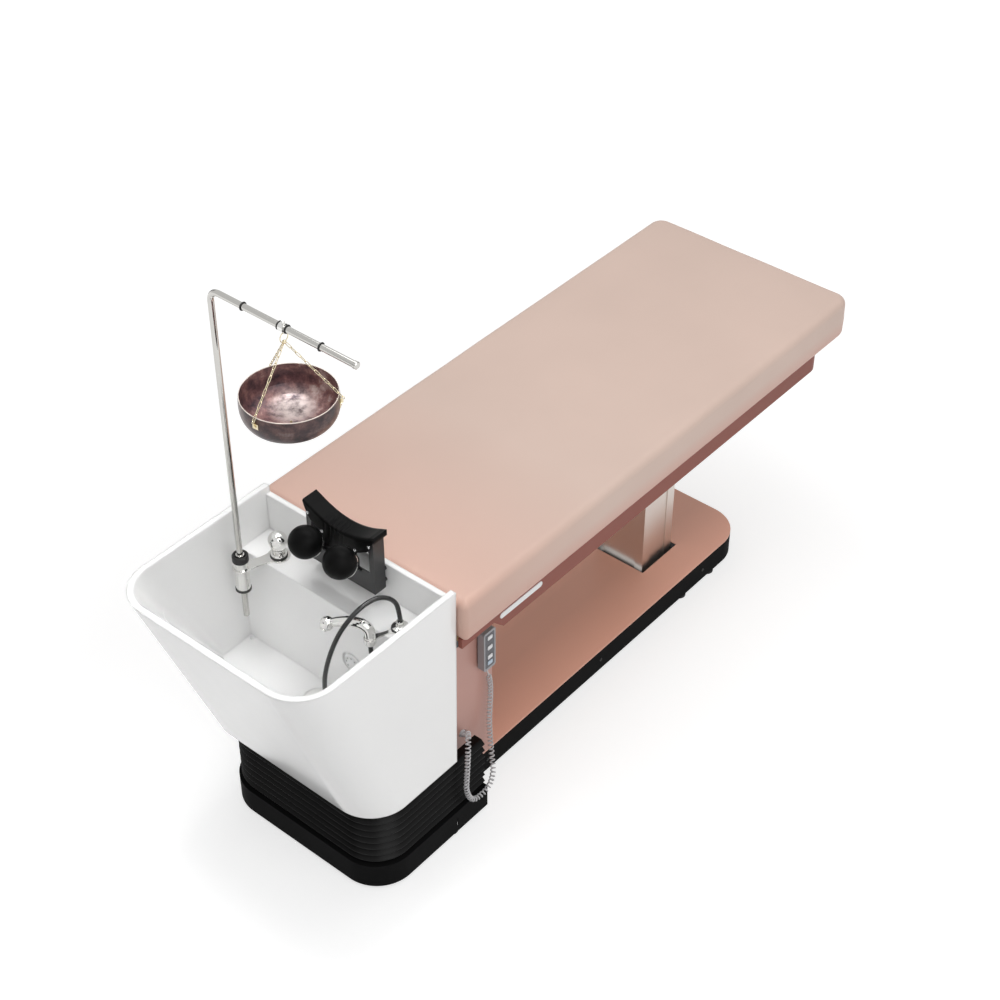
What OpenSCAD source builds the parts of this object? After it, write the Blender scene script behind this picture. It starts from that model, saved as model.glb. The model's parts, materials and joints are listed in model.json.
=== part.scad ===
// Hair washing bed: a lifting couch on two columns with a wash basin at its head end,
// a neck rest, a hand shower, a hanging oil bowl on a swivel pole and a corded handset.
// X runs from the head end to the foot end, Z is up, and the frame's origin is on the
// floor in the middle. Modules work in bench coordinates with x = 0 at the basin's head
// rim, and place() shifts them into the frame. All sizes are in millimetres.

/* [Couch] */
// Length of the cushion
cushion_length = 1700; // [1500:10:1800]
// Width of the cushion
cushion_width = 690; // [680:10:760]
// Thickness of the cushion
cushion_thick = 125; // [90:5:150]
// Plan radius of the cushion's foot corners
cushion_corner = 40; // [30:5:120]
// Height of the cushion's top above the floor with the couch raised
couch_height = 877; // [870:1:900]
// Thickness of the board under the cushion
board_thick = 12; // [6:1:18]
// Half width of the fascia round the bed frame
fascia_half = 328; // [322:1:336]
// Height of the fascia
fascia_height = 66; // [60:1:76]
// Height of the lip that is left of the fascia where its sides are cut away at the head end
fascia_lip = 30; // [24:1:50]
// How far that cut reaches from the couch's head end
fascia_cut = 124; // [60:1:140]
// Thickness of the fascia panel
fascia_wall = 12; // [6:1:16]
// How far the cushion overhangs the fascia at the foot end
foot_overhang = 108; // [60:1:160]
// Length of the bare trim strip on the near side
strip_length = 163; // [100:1:300]
// Height of the trim strip
strip_height = 17; // [10:1:30]

/* [Base] */
// Half width of the base
base_half = 206.4; // [190:0.1:230]
// Height of the top of the base above the floor
base_top = 89; // [80:1:95]
// Height of the levelling feet under the skirt
foot_height = 12; // [8:1:16]
// Distance from the couch's foot end to the base's foot end
base_setback = 232; // [150:1:350]
// Plan radius of the base's foot corners
base_corner = 110; // [60:1:150]
// Thickness of the base and plinth sheet
sheet = 2; // [1.5:0.5:3]
// Thickness of the base's top cover
cover_thick = 3; // [2:0.5:5]
// Half width of the plinth under the basin
plinth_half = 289; // [280:0.5:292]
// Distance from the basin's head rim to the plinth
plinth_x = 244; // [230:1:300]
// Length of the plinth
plinth_length = 422.5; // [400:0.5:440]
// Plan radius of the plinth's head corners
plinth_corner = 111; // [80:1:140]
// Diameter of a foot pad
foot_d = 40; // [30:1:50]

/* [Lift] */
// Stroke of the lift below the raised height
lift_stroke = 120; // [60:1:120]
// Size of a lift column along the couch
column_long = 145; // [120:1:160]
// Size of a lift column across the couch
column_wide = 176; // [150:1:190]
// Wall of a column stage
column_wall = 4; // [3:0.5:6]
// Width of the corner strips of a column
column_strip = 31; // [20:1:40]
// Depth of the recess between the corner strips
column_recess = 3; // [1:0.5:4]
// Gap between the two stages of a column
stage_gap = 2; // [1.5:0.5:4]
// Distance from the foot column to the base's foot end
column_setback = 298.5; // [200:0.5:500]
// Distance from the pedestal's head end to the head column
column_inset = 145.5; // [130:0.5:160]
// Length of the pedestal cover round the head column
pedestal_length = 262; // [240:1:300]
// Height of the pedestal cover's top above the floor
pedestal_top = 572; // [565:1:573]
// Number of pleats in the bellows
pleats = 7; // [5:1:10]
// Depth of one pleat
pleat_depth = 12; // [6:1:18]
// Height of the bellows with the couch raised
bellows_height = 165; // [140:1:170]
// Thickness of the bellows skin
bellows_skin = 2.4; // [1.6:0.2:3]

/* [Basin] */
// Length of the basin at its rim
basin_length = 523; // [500:1:540]
// Half width of the basin at its rim
basin_half = 318.6; // [310:0.1:325]
// Height of the basin's side rims above the floor
rim_z = 906; // [900:1:925]
// Drop of the back wall below the side rims
back_drop = 20; // [5:1:28]
// Height of the basin's underside above the floor
basin_bottom = 317; // [305:1:325]
// Setback of the underside's head edge from the rim
basin_rake = 216; // [180:1:225]
// Plan radius of the basin's head corners
basin_corner = 112; // [80:1:140]
// Width of the rim
rim_wide = 17; // [12:1:22]
// Thickness of the back wall
back_wall = 15; // [12:1:20]
// Thickness of the bowl's floor
basin_floor = 12; // [8:1:16]
// Height of the shelf above the floor
shelf_z = 775; // [750:1:790]
// Depth of the shelf from the back wall
shelf_deep = 102; // [95:1:110]
// Height of the bowl's floor above the floor
bowl_floor_z = 476; // [460:1:500]
// Length of the flat part of the bowl's floor
bowl_floor_long = 111; // [105:1:120]
// Diameter of the drain hole
drain_d = 44; // [30:1:50]
// Diameter of the waste pipe
waste_d = 40; // [32:1:40]

/* [Neck rest] */
// Half width of the neck rest's stand
stand_half = 111; // [105:1:116]
// Depth of the stand from the back wall
stand_deep = 38; // [34:1:45]
// Height of the stand's lower edge above the shelf
stand_lift = 43; // [30:1:50]
// Height of the stand
stand_height = 181; // [160:1:200]
// Sheet thickness of the stand
stand_sheet = 2.5; // [1.5:0.5:4]
// Half width of the neck pad
pad_half = 116; // [110:1:125]
// Height of the pad's ends above the stand's lower edge
pad_end_rise = 185.5; // [183:0.5:195]
// Dip of the pad's middle below its ends
pad_dip = 36; // [20:1:50]
// Thickness of the pad over the stand
pad_thick = 20; // [15:1:24]
// Diameter of a massage ball
ball_d = 84; // [60:1:88]
// Distance of a ball from the middle plane
ball_y = 57; // [52:1:65]

/* [Water fittings] */
// Distance of the two fittings from the middle plane
fitting_y = 205; // [190:1:220]
// Distance of the fittings from the basin's outer back face
fitting_setback = 76; // [65:1:80]
// Diameter of a fitting's tail pipe
tail_d = 20; // [15:1:24]
// Diameter of a fitting's flange
fitting_flange_d = 42; // [36:1:50]
// Diameter of the tap knob
knob_d = 50; // [40:1:60]
// Diameter of the shower hose
hose_d = 12; // [10:1:14]
// Diameter of the hand shower's ferrule
ferrule_d = 24; // [20:1:26]

/* [Pole and bowl] */
// Diameter of the pole
pole_d = 16; // [12:1:20]
// Wall of the pole
pole_wall = 1.5; // [1:0.5:3]
// Diameter of the sleeve
sleeve_d = 38; // [34:1:44]
// Height of the sleeve
sleeve_height = 88; // [80:1:110]
// Height of the arm's axis above the floor
arm_z = 1605; // [1560:1:1625]
// Reach of the arm from the pole's axis
arm_reach = 440; // [400:1:480]
// Radius of the bend between the pole and the arm
bend_r = 30; // [25:1:60]
// Distance of the pole from the middle plane
pole_y = 245; // [235:1:250]
// Distance of the hanging bowl from the pole along the arm
hanger_reach = 229; // [200:1:260]
// Diameter of the bowl at its rim
bowl_d = 226; // [180:1:240]
// Height of the bowl
bowl_height = 84; // [60:1:100]
// Wall of the bowl
bowl_wall = 1.6; // [1:0.2:2.4]
// Height of the bowl's rim above the floor
bowl_rim_z = 1429; // [1400:1:1440]
// Number of links in one chain
chain_links = 12; // [8:1:16]
// Width of a chain link
link_wide = 7; // [6:0.5:9]
// Wire diameter of a chain link
link_wire = 1.8; // [1.2:0.2:2.2]

/* [Handset] */
// Width of the handset
handset_wide = 46; // [40:1:60]
// Length of the handset
handset_long = 134; // [124:1:140]
// Thickness of the handset
handset_thick = 22; // [16:1:24]
// Distance from the pedestal's head end to the handset's middle
handset_x = 218; // [205:1:222]
// Height of the handset's lower end above the floor
handset_z = 432; // [425:1:435]
// Width of a key
key_wide = 18; // [14:1:22]
// Travel of a key
key_travel = 1.2; // [0.6:0.1:1.5]
// Outer diameter of the curly cord
coil_d = 16; // [14:1:18]
// Diameter of the cord itself
cord_d = 5; // [4:0.5:6]

/* [Hidden] */
$fn = 64;
bed_gap = 3;
total_length = basin_length + bed_gap + cushion_length;
couch_x0 = basin_length + bed_gap;
couch_x1 = total_length;

// heights of the couch
frame_top = couch_height - cushion_thick;
frame_bottom = frame_top - fascia_height;
board_z = frame_top - board_thick;
beam = 40;
beam_wide = 25;
beam_wall = 2.5;
beam_z = board_z - beam;
mount_plate = 6;
column_top = beam_z - mount_plate;
fascia_x0 = couch_x0 + 4;
fascia_x1 = couch_x1 - foot_overhang;
fascia_corner = 50;
beam_y = fascia_half - fascia_wall - 28;

// plan of the base, the plinth and the pedestal
base_x1 = couch_x1 - base_setback;
plinth_x1 = plinth_x + plinth_length;
pedestal_x0 = couch_x0 + 1;
pedestal_x1 = pedestal_x0 + pedestal_length;
pedestal_wall = 3;
pedestal_corner = 8;
plinth_ledge = 45;
skirt_lip = 14;
slot_x = 545;

// columns, their chassis and the feet
foot_column_x = base_x1 - column_setback;
head_column_x = pedestal_x0 + column_inset;
column_xs = [head_column_x, foot_column_x];
frame_mid = (head_column_x + foot_column_x) / 2;
box_long = 210;
box_tall = 52;
chassis_z = foot_height + 10;
chassis_beam = 40;
chassis_top = chassis_z + chassis_beam;
chassis_y = 130;
plate_thick = 6;
column_foot = chassis_top + plate_thick;
column_clear = 13;
stage_out = column_recess + column_wall + stage_gap;
outer_top = 470;
inner_foot = column_foot + lift_stroke + 60;
pad_strip = 20;
pad_gap = 0.1;
foot_far_x = base_x1 - 165;
foot_near_x = plinth_x + 86;
foot_spots = [[foot_near_x, plinth_half - 74], [slot_x, plinth_half - 25],
              [foot_column_x - 10, base_half - 20], [foot_far_x, base_half - 20]];
rod_d = 20;
rod_fit = 0.05;
actuator_d = 34;
motor_d = 64;
motor_tall = 70;
actuator_top = outer_top - 90;

// bellows
bellows_inset = 7.6;
bellows_half = plinth_half - bellows_inset;
bellows_x0 = plinth_x + bellows_inset;
bellows_r = plinth_corner - bellows_inset;
bellows_top = base_top + bellows_height;
bellows_flange = 24;

// basin
slope_out = basin_rake / (rim_z - basin_bottom);
cavity_x1 = basin_length - back_wall;
cavity_half = basin_half - rim_wide;
bowl_half = cavity_half - 4.6;
step_x = cavity_x1 - shelf_deep;
bowl_x0 = step_x - bowl_floor_long;
slope_in = (bowl_x0 - rim_wide) / (rim_z - bowl_floor_z);
shelf_x0 = rim_wide + (rim_z - shelf_z) * slope_in;
shelf_thick = 8;
hollow_half = 290;
slab = 0.02;
drain_x = step_x - bowl_floor_long / 2;
strainer_d = drain_d + 32;
strainer_thick = 3;
overflow_y = -73;
overflow_z = 607;
overflow_d = 52;

// basin cradle
cradle_y = 80;
cradle_tube = 30;
cradle_wall = 2.5;
cradle_leg_x = couch_x0 + 12;
cradle_x0 = basin_rake + 44;

// water fittings
fitting_x = basin_length - fitting_setback;
bracket_z = shelf_z;
bracket_thick = 4;
bracket_top = bracket_z + bracket_thick;
tail_long = 68;
seal_thick = 3;
flange_z = bracket_top + seal_thick;
flange_thick = 6;
neck_d = 26;
spindle_d = 12;
run_fit = 0.05;
knob_z = flange_z + flange_thick + 8;
holder_x = 375;
holder_y = -173;
holder_fit = 0.3;

// pole
pole_x = 355;
pole_foot = 620;
sleeve_z = shelf_z - 63;
sleeve_wall = 2;
sleeve_top = sleeve_z + sleeve_height;
sleeve_bore = sleeve_d - 2 * sleeve_wall;
hanger_y = pole_y - hanger_reach;
clip_wide = 15;
o_ring_ys = [pole_y - 0.24 * arm_reach, hanger_y + clip_wide / 2 + 4,
    hanger_y - clip_wide / 2 - 5, pole_y - 0.779 * arm_reach];
o_ring_wire = 3.2;
clip_wall = 3;
ring_r = 12;
ring_wire = 2.4;
ring_pivot_z = arm_z - pole_d / 2 - clip_wall - 3.5;
ring_foot_z = ring_pivot_z - 2 * ring_r;

// bowl and chains
bowl_z = bowl_rim_z - bowl_height;
bowl_base_r = 40;
bowl_belly = 8;
lug_angles = [65, 185, 305];
lug_eye_r = bowl_d / 2 + 8;
chain_end_r = lug_eye_r - 0.7;
chain_end_z = bowl_rim_z - 4.1;
bead_r = 5;
lug_wide = 16;
lug_tall = 14;
lug_thick = 2;
eye_r = 3.6;
eye_wire = 1.8;
chain_top_r = 4.2;
chain_top_z = ring_foot_z - 3.5;

// neck rest
stand_gap = 7;
stand_x1 = cavity_x1 - stand_gap;
stand_x0 = stand_x1 - stand_deep;
stand_z = shelf_z + stand_lift;
stand_top = stand_z + stand_height;
window = [[61, 64], [93, 64], [96, 67], [96, 126], [93, 129.5], [53, 106], [48, 101.5], [61, 88]];
pad_end_z = stand_z + pad_end_rise;
pad_skin = 4;
pad_front = stand_x0 - pad_skin;
ball_x = stand_x0 - 60;
ball_z = stand_z + 116;
ball_tilt = 136;
ball_cut = 27;
neck_screw_spots = [[100, 150], [54.5, 115.5], [54, 83]];
ball_pin = 12;

// handset
handset_mid = pedestal_x0 + handset_x;
handset_back = base_half + 4.6;
handset_front = handset_back + handset_thick;
handset_r = 7;
face_deep = 1.5;
face_inset = 5;
key_tall = 13;
key_stand = 1.6;
key_gap = 0.25;
key_zs = [112, 77.5, 44.5, 24];
hook_z = handset_z + 96;
gland_x = pedestal_x0 + 133;
gland_z = 240;

// Route of the curly cord from the handset to the gland, and where its coil lies
cord_route = [[747, -222, 419.7], [747.5, -222, 412], [751, -222, 400], [757, -222, 370], [758, -223, 330],
    [753, -225, 280], [746, -229, 230], [738, -239, 175], [722, -258, 132], [698, -282, 112],
    [664, -300, 104], [630, -303, 98], [598, -303, 104], [578, -303, 128], [566, -303, 170],
    [568, -303, 215], [574, -301, 260], [580, -298, 296], [590, -290, 318], [604, -278, 322],
    [622, -260, 311], [640, -238, 290], [653, -226, 266], [659.5, -221.5, 251], [660, -221, 245.8]];
coil_first = 2;
coil_last = 18;

// Route of the shower hose from the near fitting to the hand shower
hose_route = [[447, -205, 794.6], [447, -205, 812], [446, -197, 850], [434, -189, 872], [417, -181, 884],
    [398, -174, 889], [374, -167, 886], [346, -160, 875], [320, -154, 856], [299, -147, 830],
    [278, -140, 789], [265, -133, 742], [261, -126, 694], [266, -120, 645], [282, -116, 590],
    [302, -118, 538], [324, -130, 501], [348, -152, 485], [370, -184, 484.5], [384, -218, 494],
    [390, -238, 524], [389, -237, 570], [384, -219, 625], [379, -196, 680], [375, -176, 722],
    [375, -173, 758.4]];

// Route of the hand shower's body from its ferrule to its ball head
handle_route = [[375, -173, 782], [376.5, -171.5, 794], [377, -165, 804], [373.5, -150, 811],
    [367, -132, 812], [359, -113, 809], [350, -96, 804], [341, -82, 798]];
handle_radii = [12.6, 13.4, 13.8, 13.6, 13.2, 12.8, 12.2, 11.4];
head_spot = [334, -72, 795];
head_r = 18.5;

// ---- shared shapes ----

// Shifts bench coordinates into the part's frame
module place() {
    translate([-total_length / 2, 0, 0]) children();
}

// Mirrors its children to the far side and keeps them on the near side
module both_sides() {
    for (side = [-1, 1]) {
        scale([1, 1, 1]) mirror([0, side < 0 ? 1 : 0, 0]) children();
    }
}

// Plan of a straight-sided outline with round corners at either end
module plan(x0, x1, half, head_r = 0, foot_r = 0) {
    translate([x0 + head_r, -half]) square([x1 - foot_r - x0 - head_r, 2 * half]);
    if (head_r > 0) {
        translate([x0, head_r - half]) square([2 * head_r, 2 * (half - head_r)]);
        for (s = [-1, 1]) translate([x0 + head_r, s * (half - head_r)]) circle(head_r, $fn = 128);
    }
    if (foot_r > 0) {
        translate([x1 - 2 * foot_r, foot_r - half]) square([2 * foot_r, 2 * (half - foot_r)]);
        for (s = [-1, 1]) translate([x1 - foot_r, s * (half - foot_r)]) circle(foot_r, $fn = 128);
    }
}

// Plan with sharp corners at the head and rounded hull children, for blended shells
module slab_plan(z, x0, x1, half, r) {
    translate([0, 0, z]) linear_extrude(slab) {
        translate([x0 + r, -half]) square([x1 - x0 - r, 2 * half]);
        for (s = [-1, 1]) translate([x0 + r, s * (half - r)]) circle(r, $fn = 96);
    }
}

// Rectangle with four round corners, centred
module round_rect(w, h, r) {
    square([w - 2 * r, h], center = true);
    square([w, h - 2 * r], center = true);
    for (sx = [-1, 1], sy = [-1, 1]) translate([sx * (w / 2 - r), sy * (h / 2 - r)]) circle(r);
}

// Sweeps a profile (x outward, y up) along the plinth's U outline
module u_sweep(x0, x1, half, r) {
    leg = x1 - x0 - r;
    translate([x0, r - half, 0]) rotate([90, 0, 180]) linear_extrude(2 * (half - r)) children();
    both_sides() {
        translate([x0 + r, half, 0]) rotate([90, 0, 90]) linear_extrude(leg) children();
        translate([x0 + r, half - r, 0]) rotate([0, 0, 90]) rotate_extrude(angle = 90, $fn = 128)
            translate([r, 0]) children();
    }
}

// Hollow rectangular tube along X, Y or Z from a low corner
module box_tube(size, wall, along) {
    inner = [for (i = [0:2]) i == along ? size[i] + 2 : size[i] - 2 * wall];
    start = [for (i = [0:2]) i == along ? -1 : wall];
    difference() {
        cube(size);
        translate(start) cube(inner);
    }
}

// Unit vector, and the sweep of a round tube with its own radius at every point
function unit(v) = v / norm(v);
function tangent(p, i) = unit(p[min(i + 1, len(p) - 1)] - p[max(i - 1, 0)]);
function side_of(t) = unit(cross(t, abs(t[2]) > 0.9 ? [1, 0, 0] : [0, 0, 1]));
function carried(t, n) = unit(n - (n * t) * t);
function normals(p, i = 0, n = undef) =
    i >= len(p) ? [] :
    let (m = i == 0 ? side_of(tangent(p, 0)) : carried(tangent(p, i), n))
    concat([m], normals(p, i + 1, m));
function catmull(a, b, c, d, u) =
    0.5 * (2 * b + (c - a) * u + (2 * a - 5 * b + 4 * c - d) * u * u + (3 * b - a - 3 * c + d) * u * u * u);
function smooth(p, steps) = concat(
    [for (i = [0:len(p) - 2], s = [0:steps - 1])
        catmull(p[max(i - 1, 0)], p[i], p[i + 1], p[min(i + 2, len(p) - 1)], s / steps)],
    [p[len(p) - 1]]);

module tube(p, radii, sides) {
    n = normals(p);
    rings = len(p);
    points = [for (i = [0:rings - 1]) let (t = tangent(p, i), a = n[i], b = cross(t, a))
        for (k = [0:sides - 1]) let (w = 360 * k / sides) p[i] + radii[i] * (cos(w) * a + sin(w) * b)];
    walls = [for (i = [0:rings - 2], k = [0:sides - 1]) let (m = (k + 1) % sides)
        [i * sides + k, i * sides + m, (i + 1) * sides + m, (i + 1) * sides + k]];
    head = [for (k = [0:sides - 1]) k];
    tail = [for (k = [0:sides - 1]) rings * sides - 1 - k];
    polyhedron(points, concat([head], [for (f = walls) [f[3], f[2], f[1], f[0]]], [tail]));
}

// ---- base ----

module base_chassis() {
    color("#3a3a3c") place() {
        rail_x0 = plinth_x + 30;
        rail_long = base_x1 - 40 - rail_x0;
        cross_xs = [for (f = foot_spots) f[0] - chassis_beam / 2];
        cross_half = [for (f = foot_spots) f[1] + 10];
        both_sides() translate([rail_x0, chassis_y - chassis_beam / 2, chassis_z])
            box_tube([rail_long, chassis_beam, chassis_beam], 3, 0);
        for (i = [0:len(foot_spots) - 1]) difference() {
            union() {
                inner = chassis_y - chassis_beam / 2;
                translate([cross_xs[i], -inner, chassis_z])
                    box_tube([chassis_beam, 2 * inner, chassis_beam], 3, 1);
                out = chassis_y + chassis_beam / 2;
                both_sides() translate([cross_xs[i], out, chassis_z])
                    box_tube([chassis_beam, max(cross_half[i] - out, 5), chassis_beam], 3, 1);
            }
            for (s = [-1, 1]) translate([foot_spots[i][0], s * foot_spots[i][1], chassis_z - 1])
                cylinder(d = 10.4, h = 10);
        }
        for (x = column_xs) difference() {
            translate([x - column_long / 2 - 12, -chassis_y - 20, chassis_top])
                cube([column_long + 24, 2 * chassis_y + 40, plate_thick]);
            for (sx = [-1, 1], sy = [-1, 1])
                translate([x + sx * (column_long / 2 + 5), sy * 70, chassis_top - 1])
                    cylinder(d = 8, h = plate_thick + 2);
        }
    }
}

module base_skirt() {
    skirt_top = base_top - cover_thick;
    color("#1f1f21") place() difference() {
        union() {
            translate([0, 0, foot_height]) linear_extrude(skirt_top - foot_height) difference() {
                plan(plinth_x1, base_x1, base_half, 0, base_corner);
                plan(plinth_x1 - 1, base_x1 - sheet, base_half - sheet, 0, base_corner - sheet);
            }
            for (z = [foot_height, skirt_top - sheet]) translate([0, 0, z]) linear_extrude(sheet) difference() {
                plan(plinth_x1, base_x1, base_half, 0, base_corner);
                plan(plinth_x1 - 1, base_x1 - skirt_lip, base_half - skirt_lip, 0, base_corner - skirt_lip);
            }
        }
        for (x = screw_xs(), s = [-1, 1]) translate([x, s * base_half, screw_z()]) rotate([90, 0, 0])
            cylinder(d = 6, h = 4 * sheet, center = true);
        translate([inlet_x() - 14, base_half - 2 * sheet, inlet_z() - 11]) cube([28, 4 * sheet, 22]);
    }
}

function screw_xs() = [for (i = [0:2]) base_x1 - 220 - i * (base_x1 - plinth_x1 - 317.5) / 2];
function screw_z() = foot_height + 38;
function inlet_x() = base_x1 - 420;
function inlet_z() = foot_height + 38;

module base_cover() {
    color("#d8a58f") place() difference() {
        translate([0, 0, base_top - cover_thick]) linear_extrude(cover_thick)
            plan(pedestal_x0 - 7, base_x1, base_half, 0, base_corner);
        for (x = column_xs) translate([x - column_long / 2 - column_clear, -column_wide / 2 - column_clear, 0])
            cube([column_long + 2 * column_clear, column_wide + 2 * column_clear, base_top + 1]);
    }
}

module head_plinth() {
    top = base_top;
    color("#1f1f21") place() difference() {
        union() {
            translate([0, 0, foot_height]) linear_extrude(top - foot_height) difference() {
                plan(plinth_x, plinth_x1, plinth_half, plinth_corner);
                plan(plinth_x + sheet, plinth_x1 - sheet, plinth_half - sheet, plinth_corner - sheet);
            }
            translate([0, 0, top - sheet]) linear_extrude(sheet) difference() {
                plan(plinth_x, plinth_x1, plinth_half, plinth_corner);
                plan(plinth_x + plinth_ledge, plinth_x1 - sheet, plinth_half - plinth_ledge,
                    plinth_corner - plinth_ledge);
            }
            both_sides() translate([pedestal_x0 - 7, base_half + 0.2, top - sheet])
                cube([plinth_x1 - pedestal_x0 + 7, plinth_half - base_half - 1, sheet]);
        }
        translate([plinth_x1 - 2 * sheet, -base_half, foot_height + sheet])
            cube([4 * sheet, 2 * base_half, top]);
        translate([slot_x - 1.5, -plinth_half - 1, foot_height + 22]) cube([3, 4 * sheet, 30]);
        translate([slot_x - 1.5, plinth_half - 2 * sheet - 1, foot_height + 22]) cube([3, 4 * sheet, 30]);
    }
}

module levelling_feet() {
    color("#2a2a2a") place() for (f = foot_spots, s = [-1, 1]) translate([f[0], s * f[1], 0]) {
        cylinder(d = foot_d, h = 6);
        translate([0, 0, 6]) cylinder(d1 = foot_d, d2 = 22, h = 5);
        cylinder(d = 10, h = chassis_z + 7);
        translate([0, 0, chassis_z - 6]) cylinder(d = 18, h = 6, $fn = 6);
    }
}

module base_screws() {
    color("#4a4a4c") place() for (x = screw_xs(), s = [-1, 1])
        translate([x, s * base_half, screw_z()]) rotate([-90 * s, 0, 0]) {
            rotate_extrude() polygon([[0, 0], [5, 0], [4.6, 1.2], [3.2, 2.1], [1.6, 2.4], [1.6, 1.2], [0, 1.2]]);
            translate([0, 0, -10]) cylinder(d = 5.8, h = 10.01);
        }
}

// Outline of the outer stage with raised corner strips
module column_outline() {
    panel_y = column_wide - 2 * (column_strip - 2);
    panel_x = column_long - 2 * (column_strip + 3);
    difference() {
        square([column_long, column_wide], center = true);
        for (s = [-1, 1]) {
            translate([s * column_long / 2, 0]) square([2 * column_recess, panel_y], center = true);
            translate([0, s * column_wide / 2]) square([panel_x, 2 * column_recess], center = true);
        }
    }
}

module column_outer_stages() {
    bore = [column_long - 2 * (column_recess + column_wall), column_wide - 2 * (column_recess + column_wall)];
    color("#c3c5c8") place() for (x = column_xs) translate([x, 0, column_foot])
        linear_extrude(outer_top - column_foot) difference() {
            column_outline();
            square(bore, center = true);
        }
}

module column_inner_stages() {
    size = [column_long - 2 * stage_out, column_wide - 2 * stage_out];
    color("#d0d2d5") place() for (x = column_xs) {
        translate([x, 0, inner_foot]) linear_extrude(column_top - inner_foot) difference() {
            square(size, center = true);
            square([size[0] - 2 * column_wall, size[1] - 2 * column_wall], center = true);
        }
        translate([x, 0, column_top - 10]) linear_extrude(10) difference() {
            square([size[0] - column_wall, size[1] - column_wall], center = true);
            circle(d = rod_d + 0.6);
        }
    }
}

module column_glides() {
    thick = stage_gap - pad_gap;
    bore_x = column_long / 2 - column_recess - column_wall;
    bore_y = column_wide / 2 - column_recess - column_wall;
    color("#e8e4d8") place() for (x = column_xs, s = [-1, 1], t = [-1, 1]) {
        translate([x + s * (bore_x - thick / 2), t * (bore_y - 25), outer_top - 36])
            cube([thick, pad_strip, 70], center = true);
        translate([x + t * (bore_x - 25), s * (bore_y - thick / 2), outer_top - 36])
            cube([pad_strip, thick, 70], center = true);
    }
}

module lift_actuators() {
    color("#55575a") place() for (x = column_xs) translate([x, 0, column_foot]) difference() {
        union() {
            cylinder(d = motor_d, h = motor_tall);
            translate([0, 0, motor_tall]) cylinder(d1 = motor_d - 8, d2 = actuator_d, h = 12);
            cylinder(d = actuator_d, h = actuator_top - column_foot);
        }
        translate([0, 0, motor_tall + 30]) cylinder(d = rod_d + 2 * rod_fit, h = actuator_top);
    }
}

module actuator_rods() {
    rod_foot = column_foot + motor_tall + 40 + lift_stroke;
    color("#dcdee0") place() for (x = column_xs) translate([x, 0, rod_foot])
        cylinder(d = rod_d, h = column_top - 10 - rod_foot + 10);
}

module control_box() {
    box_x = frame_mid - 154;
    inner = chassis_y - chassis_beam / 2;
    color("#2b2b2d") place() difference() {
        translate([box_x, -inner, chassis_z]) cube([box_long, 2 * inner, box_tall]);
        for (i = [0:6]) translate([box_x + 20 + 8 * i, -60, chassis_z + box_tall - 2]) cube([3, 120, 4]);
        translate([box_x + box_long - 7, 0, chassis_z + box_tall / 2]) rotate([0, 90, 0]) cylinder(d = 14, h = 10);
    }
}

module mains_inlet() {
    color("#242426") place() translate([inlet_x(), base_half, inlet_z()]) difference() {
        union() {
            translate([-18, 0, -14]) cube([36, 3, 28]);
            translate([-13.7, -26, -10.7]) cube([27.4, 27, 21.4]);
        }
        translate([-12, -14, -8]) cube([24, 18, 16]);
    }
}

module pedestal_cover() {
    height = pedestal_top - base_top;
    color("#dfb3a0") place() translate([0, 0, base_top]) {
        linear_extrude(height) difference() {
            plan(pedestal_x0, pedestal_x1, base_half, 0, pedestal_corner);
            plan(pedestal_x0 - 1, pedestal_x1 - pedestal_wall, base_half - pedestal_wall, 0,
                pedestal_corner - pedestal_wall);
        }
        translate([0, 0, height - pedestal_wall]) linear_extrude(pedestal_wall) difference() {
            plan(pedestal_x0, pedestal_x1, base_half, 0, pedestal_corner);
            plan(pedestal_x0 - 1, pedestal_x1 - 18, base_half - 18, 0, pedestal_corner - pedestal_wall);
        }
    }
}

// ---- handset and its cord ----

module handset_hook() {
    color("#9a9c9e") place() translate([handset_mid, -base_half, hook_z]) {
        translate([-14, -1.6, -16]) cube([28, 1.6, 32]);
        for (s = [-1, 1]) translate([s * 11 - 1.5, -4.2, -14]) cube([3, 4.2, 18]);
        translate([-12.5, -4.2, -16]) cube([25, 4.2, 3]);
    }
}

module handset_shell() {
    mid_z = handset_z + handset_long / 2;
    color("#b9bcbf") place() {
        difference() {
            translate([handset_mid, -handset_back, mid_z]) rotate([90, 0, 0])
                linear_extrude(handset_thick) round_rect(handset_wide, handset_long, handset_r);
            translate([handset_mid, -handset_front + face_deep, mid_z]) rotate([90, 0, 0])
                linear_extrude(5) round_rect(handset_wide - 2 * face_inset, handset_long - 3 * face_inset, 4);
            for (z = key_zs) translate([handset_mid, -handset_front + face_deep + 4, handset_z + z])
                cube([key_wide - 4, 10, key_tall - 4], center = true);
        }
        translate([handset_mid - 9, -handset_back - 0.01, hook_z - 13]) cube([18, 2.6, 15]);
        translate([cord_route[0][0], cord_route[0][1], handset_z - 12]) cylinder(d1 = 6.5, d2 = 9, h = 12.01);
    }
}

module handset_face() {
    mid_z = handset_z + handset_long / 2;
    color("#4d5054") place() difference() {
        translate([handset_mid, -handset_front + face_deep, mid_z]) rotate([90, 0, 0])
            linear_extrude(face_deep)
                round_rect(handset_wide - 2 * face_inset, handset_long - 3 * face_inset, 4);
        for (z = key_zs) translate([handset_mid, -handset_front, handset_z + z])
            cube([key_wide + 2 * key_gap, 10, key_tall + 2 * key_gap], center = true);
    }
}

module handset_key(n) {
    deep = face_deep + key_stand - key_travel - 0.2;
    color(n == 4 ? "#bcd0dc" : "#f2f2f2") place()
        translate([handset_mid, -handset_front - key_stand, handset_z + key_zs[n - 1]])
            rotate([-90, 0, 0]) linear_extrude(deep) round_rect(key_wide, key_tall, 2.5);
}

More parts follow.
